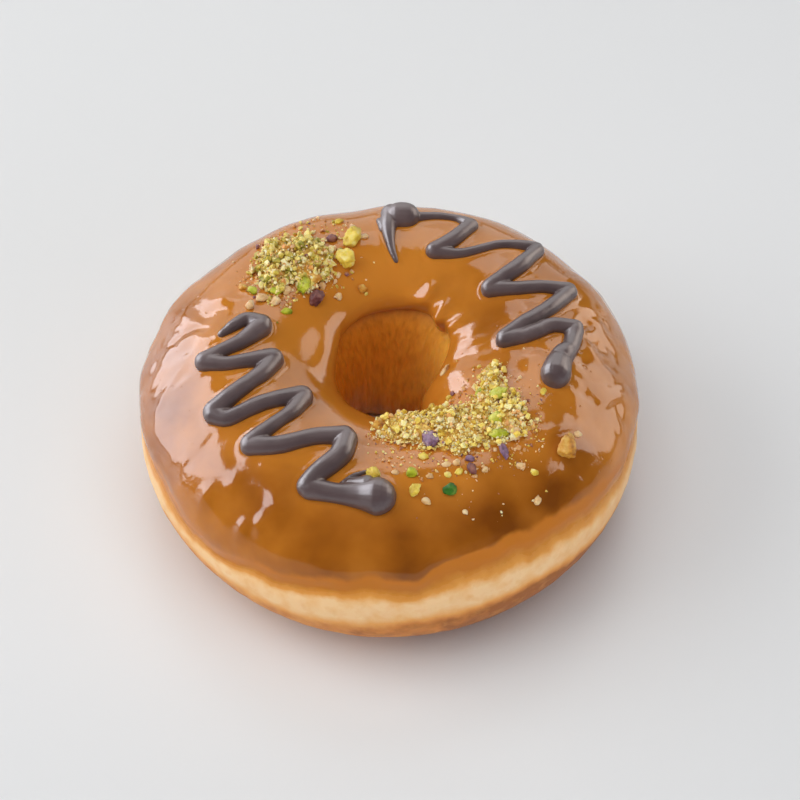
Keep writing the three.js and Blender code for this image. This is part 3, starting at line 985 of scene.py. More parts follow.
@dataclass(frozen=True)
class ChoppedNut(Finish):
    """Chopped pistachio: matte cut faces, a little oily, with light inside them.

    The eye sees each crumb in a tone of its own, from the tan of the skin to the yellow and green inside.
    """

    title: str
    palette: Palette
    grain_size: float = 0.5
    drift_size: float = 3.2  # Crumbs of one nut lie together, so the heap drifts in tone every 3 mm.
    pore_size: float = 0.3  # The cut cells are under 0.1 mm, and are drawn coarser so that they show.
    pore_depth: float = 0.05

    def surface(self, graph: NodeGraph) -> dict[str | int, object]:
        """Give each crumb its tone and the nut's fine grain. See Finish.surface."""
        grain = graph.add_node("ShaderNodeMapRange", {
            "Value": graph.spots(self.grain_size, 3.0),
            "From Min": 0.3, "From Max": 0.7, "To Min": -0.14, "To Max": 0.14,
        })
        drifting = graph.mottled("tone", self.drift_size, 0.18)
        tone = graph.add_node("ShaderNodeMath", {0: drifting, 1: grain}, operation="ADD")
        return {
            "Base Color": graph.add_node("ShaderNodeValToRGB", {"Fac": tone}, stops=self.palette),
            "Roughness": 0.6,
            "IOR": 1.46,
            "Subsurface Weight": 0.3,
            "Subsurface Radius": NUT_GLOW,
            "Subsurface Scale": 0.8 * MM,
            "Normal": graph.add_node(
                "ShaderNodeBump", {"Height": graph.spots(self.pore_size), "Distance": self.pore_depth * MM}
            ),
        }


@dataclass(frozen=True)
class TableTop(Finish):
    """A board painted pale grey: the eye sees one even tone with a soft sheen, and no grain."""

    title: str = "pale_painted_board"
    paint: str = "#e4e5e5"

    def surface(self, graph: NodeGraph) -> dict[str | int, object]:
        """Give the paint. See Finish.surface."""
        return {"Base Color": linear(self.paint), "Roughness": 0.35}


def make_mesh(
    name: str,
    places: Array,
    faces: Sequence[Sequence[int]],
    material: bpy.types.Material,
    numbers: dict[str, Array] | None = None,
) -> bpy.types.Object:
    """Make a smooth mesh object at the origin.

    Args:
        name: The piece's name.
        places: Corners in millimetres, one to a row.
        faces: Corners of each face.
        material: What it is made of.
        numbers: Named numbers, one for each corner.

    Returns:
        The new object, linked to the scene.
    """
    mesh = bpy.data.meshes.new(name)
    mesh.from_pydata((places * MM).tolist(), [], [list(face) for face in faces])
    mesh.materials.append(material)
    mesh.shade_smooth()
    for label, values in (numbers or {}).items():
        mesh.attributes.new(label, "FLOAT", "POINT").data.foreach_set("value", values.astype(np.float32))
    mesh.update()
    piece = bpy.data.objects.new(name, mesh)
    bpy.context.scene.collection.objects.link(piece)
    return piece


def settle(piece: bpy.types.Object) -> None:
    """Turn a piece's modifiers into its plain mesh and remove them.

    Args:
        piece: A mesh object.
    """
    graph = bpy.context.evaluated_depsgraph_get()
    mesh = bpy.data.meshes.new_from_object(
        piece.evaluated_get(graph), preserve_all_data_layers=True, depsgraph=graph
    )
    piece.modifiers.clear()
    piece.data = mesh
    mesh.name = piece.name


def ring_faces(turns: int, size: int) -> list[tuple[int, int, int, int]]:
    """Give the faces of a closed tube of closed profiles.

    Args:
        turns: How many profiles run round the ring.
        size: How many corners a profile has.

    Returns:
        Four corners for each face.
    """
    faces = []
    for turn in range(turns):
        for corner in range(size):
            here, above = turn * size + corner, turn * size + (corner + 1) % size
            following = (turn + 1) % turns * size
            faces.append((here, following + corner, following + (corner + 1) % size, above))
    return faces


class GeometryTree(NodeGraph):
    """A Geometry Nodes tree with named inputs, set on one modifier of a piece."""

    def __init__(self, name: str, sockets: dict[str, str]) -> None:
        """Start the tree.

        Args:
            name: The tree's name.
            sockets: What each named input holds, such as Float.
        """
        super().__init__(bpy.data.node_groups.new(name, "GeometryNodeTree"))
        panel = self.tree.interface
        for way in ("INPUT", "OUTPUT"):
            panel.new_socket("Geometry", in_out=way, socket_type="NodeSocketGeometry")
        self.keys = {
            label: panel.new_socket(label, in_out="INPUT", socket_type=f"NodeSocket{kind}").identifier
            for label, kind in (sockets | {"Material": "Material"}).items()
        }
        self.given = self.tree.nodes.new("NodeGroupInput").outputs

    def finish(self, geometry: Socket) -> None:
        """End the tree in Realize Instances and Set Material.

        Args:
            geometry: What the tree has made.
        """
        realized = self.add_node("GeometryNodeRealizeInstances", {"Geometry": geometry})
        finished = self.add_node(
            "GeometryNodeSetMaterial", {"Geometry": realized, "Material": self.given["Material"]}
        )
        self.add_node("NodeGroupOutput", {0: finished})

    def put_on(self, piece: bpy.types.Object, values: dict[str, object]) -> None:
        """Put the tree on a piece as a modifier.

        Args:
            piece: The piece that it works on.
            values: A value for each named input.
        """
        modifier = piece.modifiers.new(self.tree.name, "NODES")
        modifier.node_group = self.tree
        for label, value in values.items():
            modifier[self.keys[label]] = value


class SubAssembly:
    """What every sub-assembly shares: pieces that stand for one node of the frame."""

    node: str = "caramel_icing"
    slot: str = "icing"

    def build(self) -> list[bpy.types.Object]:
        """Build the pieces and give them."""
        raise NotImplementedError

    def dress(self, pieces: list[bpy.types.Object]) -> None:
        """Put the pieces in the frame, in the place of the node.

        Args:
            pieces: The finished pieces.
        """
        for piece in pieces:
            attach(piece, "root")
            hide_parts(self.node)
            triangles = sum(len(face.vertices) - 2 for face in piece.data.polygons)
            log.info("%s: %d triangles", piece.name, triangles)


@dataclass
class DoughRing(SubAssembly):
    """The fried ring: its belly, its underside and the wall of its hole."""

    form: IcingForm
    node: str = "dough_ring"
    slot: str = "dough"
    turns: int = 420
    steps: int = 180
    browning_edge: tuple[Point, ...] = (
        (-180.0, -8.0), (-128.0, -6.0), (-98.0, -4.0), (-80.0, 1.0), (-56.0, 2.0), (-45.0, -2.0),
        (-31.0, -9.0), (-10.0, -8.0), (60.0, -5.0), (120.0, -7.0), (180.0, -8.0),
    )
    foot_swell: Swell = Swell(70, 46, 222, 24, 4.6)
    under_fade: Point = (-9.0, 5.0)
    over_fade: Point = (12.0, 34.0)
    hole_fade: Point = (110.0, 160.0)
    painted_shade_side: Point = (-50.0, 36.0)
    browner_side: Point = (-30.0, 26.0)
    painted_light_side: Point = (42.0, 36.0)
    painted_light_fade: Point = (184.0, 212.0)
    torn_start: Point = (130.0, 150.0)
    torn_end: Point = (215.0, 240.0)
    wrinkle_size: float = 3.5
    wrinkle_depth: float = 0.5
    wrinkle_free: float = 1.5

    def build(self) -> list[bpy.types.Object]:
        """Build the ring as one closed mesh.

        Returns:
            The dough.
        """
        azimuth = np.repeat(np.arange(self.turns) * 360.0 / self.turns, self.steps)
        tilt = np.tile(np.arange(self.steps) * 360.0 / self.steps, self.turns)
        signed = np.where(tilt > 270.0, tilt - 360.0, tilt)
        lift = self.foot_swell.height(azimuth, tilt) - self.form.dough_depth(azimuth, signed)
        places = self.form.ring.place(azimuth, tilt, lift)
        numbers = {
            "browning": self.browning(azimuth, signed),
            "film": self.form.film(azimuth, signed) * (1.0 - smoothstep(signed, 90.0, 120.0)),
            "torn": smoothstep(tilt, *self.torn_start) * (1.0 - smoothstep(tilt, *self.torn_end)),
            # pale is painted light on the hole's wall, on the side that faces the light.
            "pale": bump(azimuth, *self.painted_light_side) * (1.0 - smoothstep(tilt, *self.painted_light_fade)),
            "free": smoothstep(places[:, 2], 0.0, self.wrinkle_free),
        }
        faces = ring_faces(self.turns, self.steps)
        return [make_mesh("dough", places, faces, FriedDough().make(), numbers)]

    def browning(self, azimuth: Array, tilt: Array) -> Array:
        """Give how brown the crust is, 0 in the cream band and 1 on the underside, with painted shade
        that browns the underside further on the front right.

        Args:
            azimuth: Azimuths in degrees.
            tilt: Tilts in degrees, from -90 under the belly to 270.

        Returns:
            The browning at each corner.
        """
        signed = (azimuth + 180.0) % 360.0 - 180.0
        edge = np.interp(signed, *zip(*self.browning_edge))
        # Painted shade: the underside's browning is raised on the front-right side, where the ring is in
        # shade.
        painted_shade = 0.72 + 0.4 * bump(azimuth, *self.painted_shade_side)
        under = painted_shade * (1.0 - smoothstep(tilt - edge, *self.under_fade))
        over = 0.75 * smoothstep(tilt - edge, *self.over_fade)
        hole = 0.95 * smoothstep(tilt, *self.hole_fade)
        return np.maximum.reduce([under, over, hole]) + 0.12 * bump(azimuth, *self.browner_side)

    def wrinkle(self, piece: bpy.types.Object) -> None:
        """Give the crust its shallow wrinkles and dimples.

        Args:
            piece: The dough.
        """
        nodes = GeometryTree("wrinkled crust", {"Wrinkles per metre": "Float", "Wrinkle depth": "Float"})
        given = nodes.given
        texture = nodes.add_node("ShaderNodeTexNoise", {"Scale": given["Wrinkles per metre"], "Detail": 4.0})
        centred = nodes.add_node("ShaderNodeMath", {0: texture, 1: 0.5}, operation="SUBTRACT")
        relief = {0: centred, 1: given["Wrinkle depth"]}
        deep = nodes.add_node("ShaderNodeMath", relief, operation="MULTIPLY")
        free = nodes.add_node("GeometryNodeInputNamedAttribute", {"Name": "free"})
        height = nodes.add_node("ShaderNodeMath", {0: deep, 1: free}, operation="MULTIPLY")
        outwards = {"Vector": nodes.add_node("GeometryNodeInputNormal"), "Scale": height}
        offset = nodes.add_node("ShaderNodeVectorMath", outwards, operation="SCALE")
        moved = nodes.add_node("GeometryNodeSetPosition", {"Geometry": given["Geometry"], "Offset": offset})
        nodes.finish(moved)
        nodes.put_on(piece, {
            "Wrinkles per metre": per_mm(self.wrinkle_size),
            "Wrinkle depth": self.wrinkle_depth * MM,
            "Material": piece.data.materials[0],
        })
        settle(piece)

    def dress(self, pieces: list[bpy.types.Object]) -> None:
        """Wrinkle the crust and put it in the frame. See SubAssembly.dress."""
        self.wrinkle(pieces[0])
        super().dress(pieces)


@dataclass
class IcingSkin(SubAssembly):
    """The poured icing over the ring."""

    form: IcingForm
    turns: int = 600
    outer_steps: int = 136
    inner_steps: int = 12
    # Patches of deeper tone, partly where the icing pooled and partly painted shade on the front and left
    # slopes.
    pools_and_shade: tuple[Swell, ...] = (
        Swell(-90, 12, 35, 14, 0.12), Swell(-64, 24, 50, 14, 0.1), Swell(24, 34, 108, 24, 0.5),
        Swell(-132, 24, 56, 26, 0.3), Swell(-40, 18, 50, 20, 0.4), Swell(175, 30, 52, 24, 0.25),
    )
    # Painted shade: the tone is deepened on the front slope, which faces away from the lights, and on the
    # left slope, fading towards the crest.
    painted_shade_sides: tuple[Triple, ...] = ((0.6, -72.0, 62.0), (0.35, 178.0, 46.0))
    painted_shade_fade: Point = (45.0, 88.0)
    fold_share: float = 0.3
    sharp_side: Point = (-74.0, 12.0)
    sharp_edge: Point = (-1.0, 3.0)
    soft_edge: Point = (-3.0, 9.0)

    def build(self) -> list[bpy.types.Object]:
        """Build the icing as one closed mesh, its outer face and its inner one.

        Returns:
            The icing.
        """
        share = np.arange(self.outer_steps + 1) / self.outer_steps
        eased = (share + (1.0 - np.cos(np.pi * share)) / 2.0) / 2.0
        back = 1.0 - np.arange(self.inner_steps + 1) / self.inner_steps
        shares = np.concatenate([eased, back])
        azimuth = np.repeat(np.arange(self.turns) * 360.0 / self.turns, len(shares))
        start, end = self.form.outer_edge(azimuth), self.form.hole_edge(azimuth)
        tilt = start + (end - start) * np.tile(shares, self.turns)
        outside = np.tile(np.arange(len(shares)) <= self.outer_steps, self.turns)
        lift = self.form.gap - self.form.dough_depth(azimuth, tilt)
        lift[outside] = self.form.lift(azimuth[outside], tilt[outside])
        places = self.form.ring.place(azimuth, tilt, lift)
        past = tilt - self.form.pool_edge(azimuth)
        sharp = bump(azimuth, *self.sharp_side)
        low, high = (soft + (keen - soft) * sharp for soft, keen in zip(self.soft_edge, self.sharp_edge))
        numbers = {
            "film": self.form.film(azimuth, tilt),
            "pooled": smoothstep(past, low, high),
            "depth": self.depth(azimuth, tilt),
            "pitted": self.form.roughness(azimuth, tilt),
        }
        faces = ring_faces(self.turns, len(shares))
        return [make_mesh("icing", places, faces, CaramelIcing().make(), numbers)]

    def depth(self, azimuth: Array, tilt: Array) -> Array:
        """Give how deep the icing's tone is: painted shade on the front and left slopes, patches that are
        partly pooled icing and partly painted shade, and the folds where it flowed.

        Args:
            azimuth: Azimuths in degrees.
            tilt: Tilts in degrees.

        Returns:
            The depth of tone, about 0 to 1.
        """
        slope = 1.0 - smoothstep(tilt, *self.painted_shade_fade)
        sides = sum(share * bump(azimuth, middle, spread) for share, middle, spread in self.painted_shade_sides)
        pools_and_shade = sum(pool.height(azimuth, tilt) for pool in self.pools_and_shade)
        return slope * sides + pools_and_shade + self.fold_share * self.form.curtains(azimuth, tilt)


def between(one: Array, other: Array, low: float, high: float, at: Array) -> Array:
    """Mix two rows of values, the first held at a low knot and the second at a high one."""
    return ((high - at) * one + (at - low) * other) / (high - low)


def smooth_line(stroke: Stroke, step: float) -> Array:
    """Draw a smooth curve through a stroke's points, with knots spaced by the root of their distance.

    Args:
        stroke: Points as x, y and width, in millimetres.
        step: Distance from sample to sample.

    Returns:
        Samples as x, y and width, one to a row.
    """
    points = np.array(stroke, dtype=float)
    points = np.vstack([2.0 * points[0] - points[1], points, 2.0 * points[-1] - points[-2]])
    samples = []
    for first in range(len(points) - 3):
        a, b, c, d = points[first : first + 4]
        gaps = [math.sqrt(np.linalg.norm(pair[1] - pair[0])) for pair in ((a, b), (b, c), (c, d))]
        t0, t1, t2, t3 = np.concatenate([[0.0], np.cumsum(gaps)])
        last = first == len(points) - 4
        count = max(3, int(np.linalg.norm(c[:2] - b[:2]) / step))
        at = np.linspace(t1, t2, count, endpoint=last)[:, None]
        early, middle = between(a, b, t0, t1, at), between(b, c, t1, t2, at)
        late = between(c, d, t2, t3, at)
        earlier, later = between(early, middle, t0, t2, at), between(middle, late, t1, t3, at)
        samples.append(between(earlier, later, t1, t2, at))
    return np.vstack(samples)


@dataclass
class PipedZigzag(SubAssembly):
    """Chocolate piped to and fro over the icing, each stroke as x, y and width from turn to turn."""

    name: str
    strokes: tuple[Stroke, ...]
    form: IcingForm
    axis_height: float = 0.12
    step: float = 0.35
    cap_steps: int = 5
    sides: int = 20
    voxel: float = 0.16
    softening: int = 5
    wobble: Hills = Hills(0.05, 2.6, 5)

    def build(self) -> list[bpy.types.Object]:
        """Pipe the strokes and let them flow together.

        Returns:
            The chocolate.
        """
        curve = bpy.data.curves.new(self.name, "CURVE")
        curve.dimensions = "3D"
        for stroke in self.strokes:
            places, radii = self.bead(stroke)
            spline = curve.splines.new("POLY")
            spline.points.add(len(places) - 1)
            spline.points.foreach_set("co", np.column_stack([places * MM, np.ones(len(places))]).ravel())
            spline.points.foreach_set("radius", radii * MM)
        route = bpy.data.objects.new(self.name, curve)
        bpy.context.scene.collection.objects.link(route)
        piece = self.pipe(route)
        self.flow_together(piece)
        return [piece]

    def bead(self, stroke: Stroke) -> tuple[Array, Array]:
        """Give a stroke's axis with half rounds at its ends.

        Args:
            stroke: Points as x, y and width, in millimetres.

        Returns:
            Places on the axis and the bead's radius at each.
        """
        samples = smooth_line(stroke, self.step)
        share = np.sin(np.linspace(0.0, np.pi / 2.0, self.cap_steps, endpoint=False)[1:])
        ends = []
        for at, before in ((0, 1), (-1, -2)):
            forward = samples[at, :2] - samples[before, :2]
            forward /= np.linalg.norm(forward)
            reach = share * samples[at, 2] / 2.0
            middles = samples[at, :2] + reach[:, None] * forward
            cap = np.column_stack([middles, np.full(len(share), samples[at, 2])])
            ends.append((cap, np.sqrt(1.0 - share**2)))
        (start, start_scale), (end, end_scale) = ends
        line = np.vstack([start[::-1], samples, end])
        scale = np.concatenate([start_scale[::-1], np.ones(len(samples)), end_scale])
        places, normals = self.form.over(line[:, 0], line[:, 1])
        radii = line[:, 2] / 2.0 * scale * (1.0 + self.wobble.over(places))
        return places + (self.axis_height * line[:, 2])[:, None] * normals, radii

    def pipe(self, route: bpy.types.Object) -> bpy.types.Object:
        """Sweep a round section along the strokes.

        Args:
            route: The strokes' axes as a curve.

        Returns:
            The swept tubes as one mesh object.
        """
        nodes = GeometryTree("piping", {"Sides": "Int"})
        section = nodes.add_node(
            "GeometryNodeCurvePrimitiveCircle", {"Resolution": nodes.given["Sides"], "Radius": 1.0}
        )
        tube = nodes.add_node("GeometryNodeCurveToMesh", {
            "Curve": nodes.given["Geometry"],
            "Profile Curve": section,
            "Scale": nodes.add_node("GeometryNodeInputRadius"),
            "Fill Caps": True,
        })
        nodes.finish(tube)
        nodes.put_on(route, {"Sides": self.sides, "Material": DarkChocolate().make()})
        graph = bpy.context.evaluated_depsgraph_get()
        mesh = bpy.data.meshes.new_from_object(route.evaluated_get(graph), depsgraph=graph)
        bpy.data.objects.remove(route)
        piece = bpy.data.objects.new(self.name, mesh)
        bpy.context.scene.collection.objects.link(piece)
        return piece

    def flow_together(self, piece: bpy.types.Object) -> None:
        """Merge the tubes into one skin and soften the joins.

        Args:
            piece: The swept tubes.
        """
        remesh = piece.modifiers.new("one skin", "REMESH")
        remesh.mode = "VOXEL"
        remesh.voxel_size = self.voxel * MM
        remesh.use_smooth_shade = True
        soften = piece.modifiers.new("soften", "SMOOTH")
        soften.factor = 0.5
        soften.iterations = self.softening
        chocolate = piece.data.materials[0]
        settle(piece)
        piece.data.materials.clear()
        piece.data.materials.append(chocolate)
        piece.data.shade_smooth()


@dataclass(frozen=True)
class Patch:
    """Ground that nut lies on, in plan: its outline, the height of its bed and how thickly it is strewn."""

    outline: tuple[Point, ...]
    rise: float = 0.0
    weight: float = 1.0
    shore: float = 3.2
    raggedness: Hills = Hills(1.2, 2.6, 21)

    def inside(self, x: Array, y: Array) -> Array:
        """Give how far inside the outline places lie, its shoreline made ragged.

        Args:
            x: Places along X in millimetres.
            y: Places along Y in millimetres.

        Returns:
            Distances in millimetres, less than 0 outside.
        """
        points = flat(x, y)
        nearest = np.full(len(x), np.inf)
        within = np.zeros(len(x), dtype=bool)
        for start, end in zip(self.outline, self.outline[1:] + self.outline[:1]):
            nearest = np.minimum(nearest, from_line(points, start, end))
            spans = (start[1] > y) != (end[1] > y)
            climb = end[1] - start[1] if end[1] != start[1] else 1.0
            within ^= spans & (x < start[0] + (y - start[1]) / climb * (end[0] - start[0]))
        return np.where(within, nearest, -nearest) + self.raggedness.over(points)


@dataclass(frozen=True)
class CrumbKind:
    """One size and colour of crumb."""

    name: str
    palette: Palette
    smallest: float
    largest: float
    density: float
    seed: int
    corners: int = 12
    flatness: float = 0.8
    bury: float = 0.3
    stack: float = 0.5


def make_crumb(name: str, corners: int, flatness: float, draw: np.random.Generator) -> bpy.types.Object:
    """Make one angular crumb, a millimetre long.

    Args:
        name: The crumb's name.
        corners: How many corners it is cut to.
        flatness: Its height as a share of its length.
        draw: Where random numbers come from.

    Returns:
        The crumb, not linked to the scene.
    """
    shape = bmesh.new()
    directions = draw.normal(size=(corners, 3))
    directions /= np.linalg.norm(directions, axis=1)[:, None]
    stretch = np.array([1.0, draw.uniform(0.65, 0.95), flatness * draw.uniform(0.8, 1.1)])
    for place in directions * draw.uniform(0.8, 1.0, size=(corners, 1)) * stretch * 0.5 * MM:
        shape.verts.new(place)
    hull = bmesh.ops.convex_hull(shape, input=shape.verts)
    inner = [item for item in hull["geom_interior"] if isinstance(item, bmesh.types.BMVert)]
    bmesh.ops.delete(shape, geom=inner)
    bmesh.ops.recalc_face_normals(shape, faces=shape.faces)
    mesh = bpy.data.meshes.new(name)
    shape.to_mesh(mesh)
    shape.free()
    return bpy.data.objects.new(name, mesh)


@dataclass
class NutHeaps(SubAssembly):
    """Chopped pistachio: a bed where it is heaped, and crumbs strewn over it."""

    name: str
    form: IcingForm
    patches: tuple[Patch, ...]
    kinds: tuple[CrumbKind, ...]
    bed_palette: Palette
    ground_step: float = 0.3
    shore_start: float = -0.3
    strewn_edge: Point = (-0.9, 0.9)
    shore_sink: float = 0.25
    bed_sink: float = 0.6
    swell: Hills = Hills(0.5, 3.4, 22)
    clumps: Hills = Hills(1.0, 1.7, 23)
    lumps: tuple[Hills, ...] = (Hills(0.6, 1.5, 7), Hills(0.3, 0.8, 8))
    tones: Hills = Hills(0.5, 0.9, 9)
    margin: float = 1.5
    shapes: int = 9

    def bed_rise(self, x: Array, y: Array) -> Array:
        """Give the height of the bed over the icing.

        Args:
            x: Places along X in millimetres.
            y: Places along Y in millimetres.

        Returns:
            Heights in millimetres, 0 off the bed.
        """
        swell = 1.0 + self.swell.over(flat(x, y))
        highest = np.zeros(len(x))
        for patch in self.patches:
            if patch.rise > 0.0:
                slope = smoothstep(patch.inside(x, y), self.shore_start, patch.shore)
                highest = np.maximum(highest, patch.rise * slope * swell)
        return highest

    def strewing(self, x: Array, y: Array) -> Array:
        """Give how thickly crumbs lie.

        Args:
            x: Places along X in millimetres.
            y: Places along Y in millimetres.

        Returns:
            Shares of the crumbs' full density, from 0 to about 1.
        """
        clumps = 0.4 + 0.6 * smoothstep(self.clumps.over(flat(x, y)), -0.35, 0.2)
        thickest = np.zeros(len(x))
        for patch in self.patches:
            strewn = patch.weight * smoothstep(patch.inside(x, y), *self.strewn_edge)
            thickest = np.maximum(thickest, strewn)
        return thickest * clumps

    def grid(self, patches: Sequence[Patch]) -> tuple[Array, Array, list[Quad]]:
        """Lay a square grid over some patches.

        Args:
            patches: Which ones it covers.

        Returns:
            Places along X and Y, and the four corners of each cell.
        """
        outline = np.vstack([patch.outline for patch in patches])
        low, high = outline.min(axis=0) - self.margin, outline.max(axis=0) + self.margin
        columns, rows = ((high - low) / self.ground_step).astype(int) + 1
        x, y = np.meshgrid(np.linspace(low[0], high[0], columns), np.linspace(low[1], high[1], rows))
        starts = [row * columns + column for row in range(rows - 1) for column in range(columns - 1)]
        cells = [(here, here + 1, here + columns + 1, here + columns) for here in starts]
        return x.ravel(), y.ravel(), cells

    def ground(self) -> bpy.types.Object:
        """Make the ground that crumbs are strewn on: the icing with the bed on it.

        Returns:
            An open patch with a strewing number at each corner.
        """
        x, y, cells = self.grid(self.patches)
        places, _ = self.form.over(x, y, self.bed_rise(x, y))
        strewing = self.strewing(x, y)
        kept = [cell for cell in cells if strewing[list(cell)].max() > 0.0]
        material = bpy.data.materials.new("bare ground")
        return make_mesh(f"{self.name}_ground", places, kept, material, {"strewing": strewing})

    def bed(self) -> bpy.types.Object:
        """Build the bed of meal under the crumbs, a closed lens on the icing.

        Returns:
            The bed.
        """
        x, y, cells = self.grid([patch for patch in self.patches if patch.rise > 0.0])
        rise = self.bed_rise(x, y)
        plan = flat(x, y)
        lumps = sum(hills.over(plan) for hills in self.lumps)
        thick = rise > 0.0
        heaped = rise + lumps * smoothstep(rise, 0.0, 0.5)
        top, _ = self.form.over(x, y, np.where(thick, heaped, 0.0) - self.shore_sink)
        under, _ = self.form.over(x, y, np.full(len(x), -self.bed_sink))
        kept = [cell for cell in cells if thick[list(cell)].any()]
        edges = dict.fromkeys(edge for cell in kept for edge in zip(cell, cell[1:] + cell[:1]))
        used = sorted({corner for cell in kept for corner in cell})
        upper = {corner: index for index, corner in enumerate(used)}
        lower = {corner: index + len(used) for corner, index in upper.items()}
        faces = [tuple(upper[corner] for corner in cell) for cell in kept]
        faces += [tuple(lower[corner] for corner in reversed(cell)) for cell in kept]
        faces += [
            (upper[other], upper[one], lower[one], lower[other])
            for one, other in edges
            if (other, one) not in edges
        ]
        numbers = {"tone": np.tile(0.5 + self.tones.over(plan[used]), 2)}
        material = ChoppedNut(f"{self.name}_meal", self.bed_palette).make()
        return make_mesh(f"{self.name}_bed", np.vstack([top[used], under[used]]), faces, material, numbers)

    def strew(self, kind: CrumbKind) -> bpy.types.Object:
        """Strew one kind of crumb over the heaps.

        Args:
            kind: What is strewn.

        Returns:
            The crumbs as one mesh.
        """
        draw = np.random.default_rng(kind.seed)
        shapes = bpy.data.collections.new(f"{kind.name} shapes")
        for index in range(self.shapes):
            shapes.objects.link(make_crumb(f"{kind.name}_{index}", kind.corners, kind.flatness, draw))
        piece = self.ground()
        piece.name = kind.name
        self.crumb_tree().put_on(piece, {
            "Shapes": shapes,
            "Crumbs per square metre": kind.density / MM**2,
            "Smallest": kind.smallest,
            "Largest": kind.largest,
            "Buried": -kind.bury * MM,
            "Stacked": kind.stack * MM,
            "Seed": kind.seed,
            "Material": ChoppedNut(kind.name, kind.palette).make(),
        })
        settle(piece)
        for shape in list(shapes.objects):
            bpy.data.objects.remove(shape)
        bpy.data.collections.remove(shapes)
        return piece

    def crumb_tree(self) -> GeometryTree:
        """Build the tree that strews crumbs: many on the ground's thick places, few on its thin ones.

        Returns:
            The tree.
        """
        nodes = GeometryTree("strewn crumbs", {
            "Shapes": "Collection", "Crumbs per square metre": "Float", "Smallest": "Float",
            "Largest": "Float", "Buried": "Float", "Stacked": "Float", "Seed": "Int",
        })
        given, draw = nodes.given, "FunctionNodeRandomValue"
        seeds = [nodes.add_node("ShaderNodeMath", {0: given["Seed"], 1: step}) for step in range(1, 6)]
        above = nodes.add_node(draw, {2: given["Buried"], 3: given["Stacked"], "Seed": seeds[0]}, 1)
        share = nodes.add_node(draw, {"Seed": seeds[1]}, 1)
        euler = nodes.add_node(draw, {1: (math.tau,) * 3, "Seed": seeds[2]}, data_type="FLOAT_VECTOR")
        chosen = nodes.add_node(draw, {4: 0, 5: self.shapes - 1, "Seed": seeds[3]}, 2, data_type="INT")
        tone = nodes.add_node(draw, {"Seed": seeds[4]}, 1)
        strewing = nodes.add_node("GeometryNodeInputNamedAttribute", {"Name": "strewing"})
        density = nodes.add_node(
            "ShaderNodeMath", {0: strewing, 1: given["Crumbs per square metre"]}, operation="MULTIPLY"
        )
        points = nodes.add_node(
            "GeometryNodeDistributePointsOnFaces",
            {"Mesh": given["Geometry"], "Density": density, "Seed": given["Seed"]},
            distribute_method="RANDOM",
        )
        upwards = {"Vector": points.node.outputs["Normal"], "Scale": above}
        offset = nodes.add_node("ShaderNodeVectorMath", upwards, operation="SCALE")
        # A power of a draw makes small crumbs common and large ones rare.
        skewed = nodes.add_node("ShaderNodeMath", {0: share, 1: 1.8}, operation="POWER")
        crumbs = nodes.add_node("GeometryNodeInstanceOnPoints", {
            "Points": nodes.add_node("GeometryNodeSetPosition", {"Geometry": points, "Offset": offset}),
            "Instance": nodes.add_node("GeometryNodeCollectionInfo", {
                "Collection": given["Shapes"], "Separate Children": True, "Reset Children": True,
            }),
            "Pick Instance": True,
            "Instance Index": chosen,
            "Rotation": nodes.add_node("FunctionNodeEulerToRotation", {"Euler": euler}),
            "Scale": nodes.add_node("ShaderNodeMapRange", {
                "Value": skewed, "To Min": given["Smallest"], "To Max": given["Largest"],
            }),
        })
        toned = {"Geometry": crumbs, "Name": "tone", "Value": tone}
        nodes.finish(nodes.add_node("GeometryNodeStoreNamedAttribute", toned, domain="INSTANCE"))
        return nodes

    def build(self) -> list[bpy.types.Object]:
        """Build the bed and every kind of crumb.

        Returns:
            The pieces.
        """
        heaped = any(patch.rise > 0.0 for patch in self.patches)
        return ([self.bed()] if heaped else []) + [self.strew(kind) for kind in self.kinds]


class NutTone(Enum):
    """The colour of a large piece of nut, from its darkest to its palest tone, which varies at random over
    the piece.
    """

    TAN = ((0.0, "#c08a4c"), (0.5, "#e6bd84"), (1.0, "#f6dcae"))
    AMBER = ((0.0, "#8a4a16"), (0.45, "#d0902e"), (1.0, "#f0cf74"))
    YELLOW = ((0.0, "#c29a22"), (0.5, "#e8cc4e"), (1.0, "#f8e898"))
    LIME = ((0.0, "#7f8a10"), (0.5, "#b9bd2a"), (1.0, "#e0dc6c"))
    DARK_GREEN = ((0.0, "#173f06"), (0.5, "#2f6c14"), (1.0, "#749c3c"))
    PURPLE = ((0.0, "#5a3c50"), (0.5, "#8d6c86"), (1.0, "#c4aebe"))
    BROWN = ((0.0, "#4a2026"), (0.5, "#74403c"), (1.0, "#a87460"))


@dataclass(frozen=True)
class Nugget:
    """A large piece of nut: its place in plan, its length and width, and which way it lies."""

    x: float
    y: float
    length: float
    width: float
    heading: float


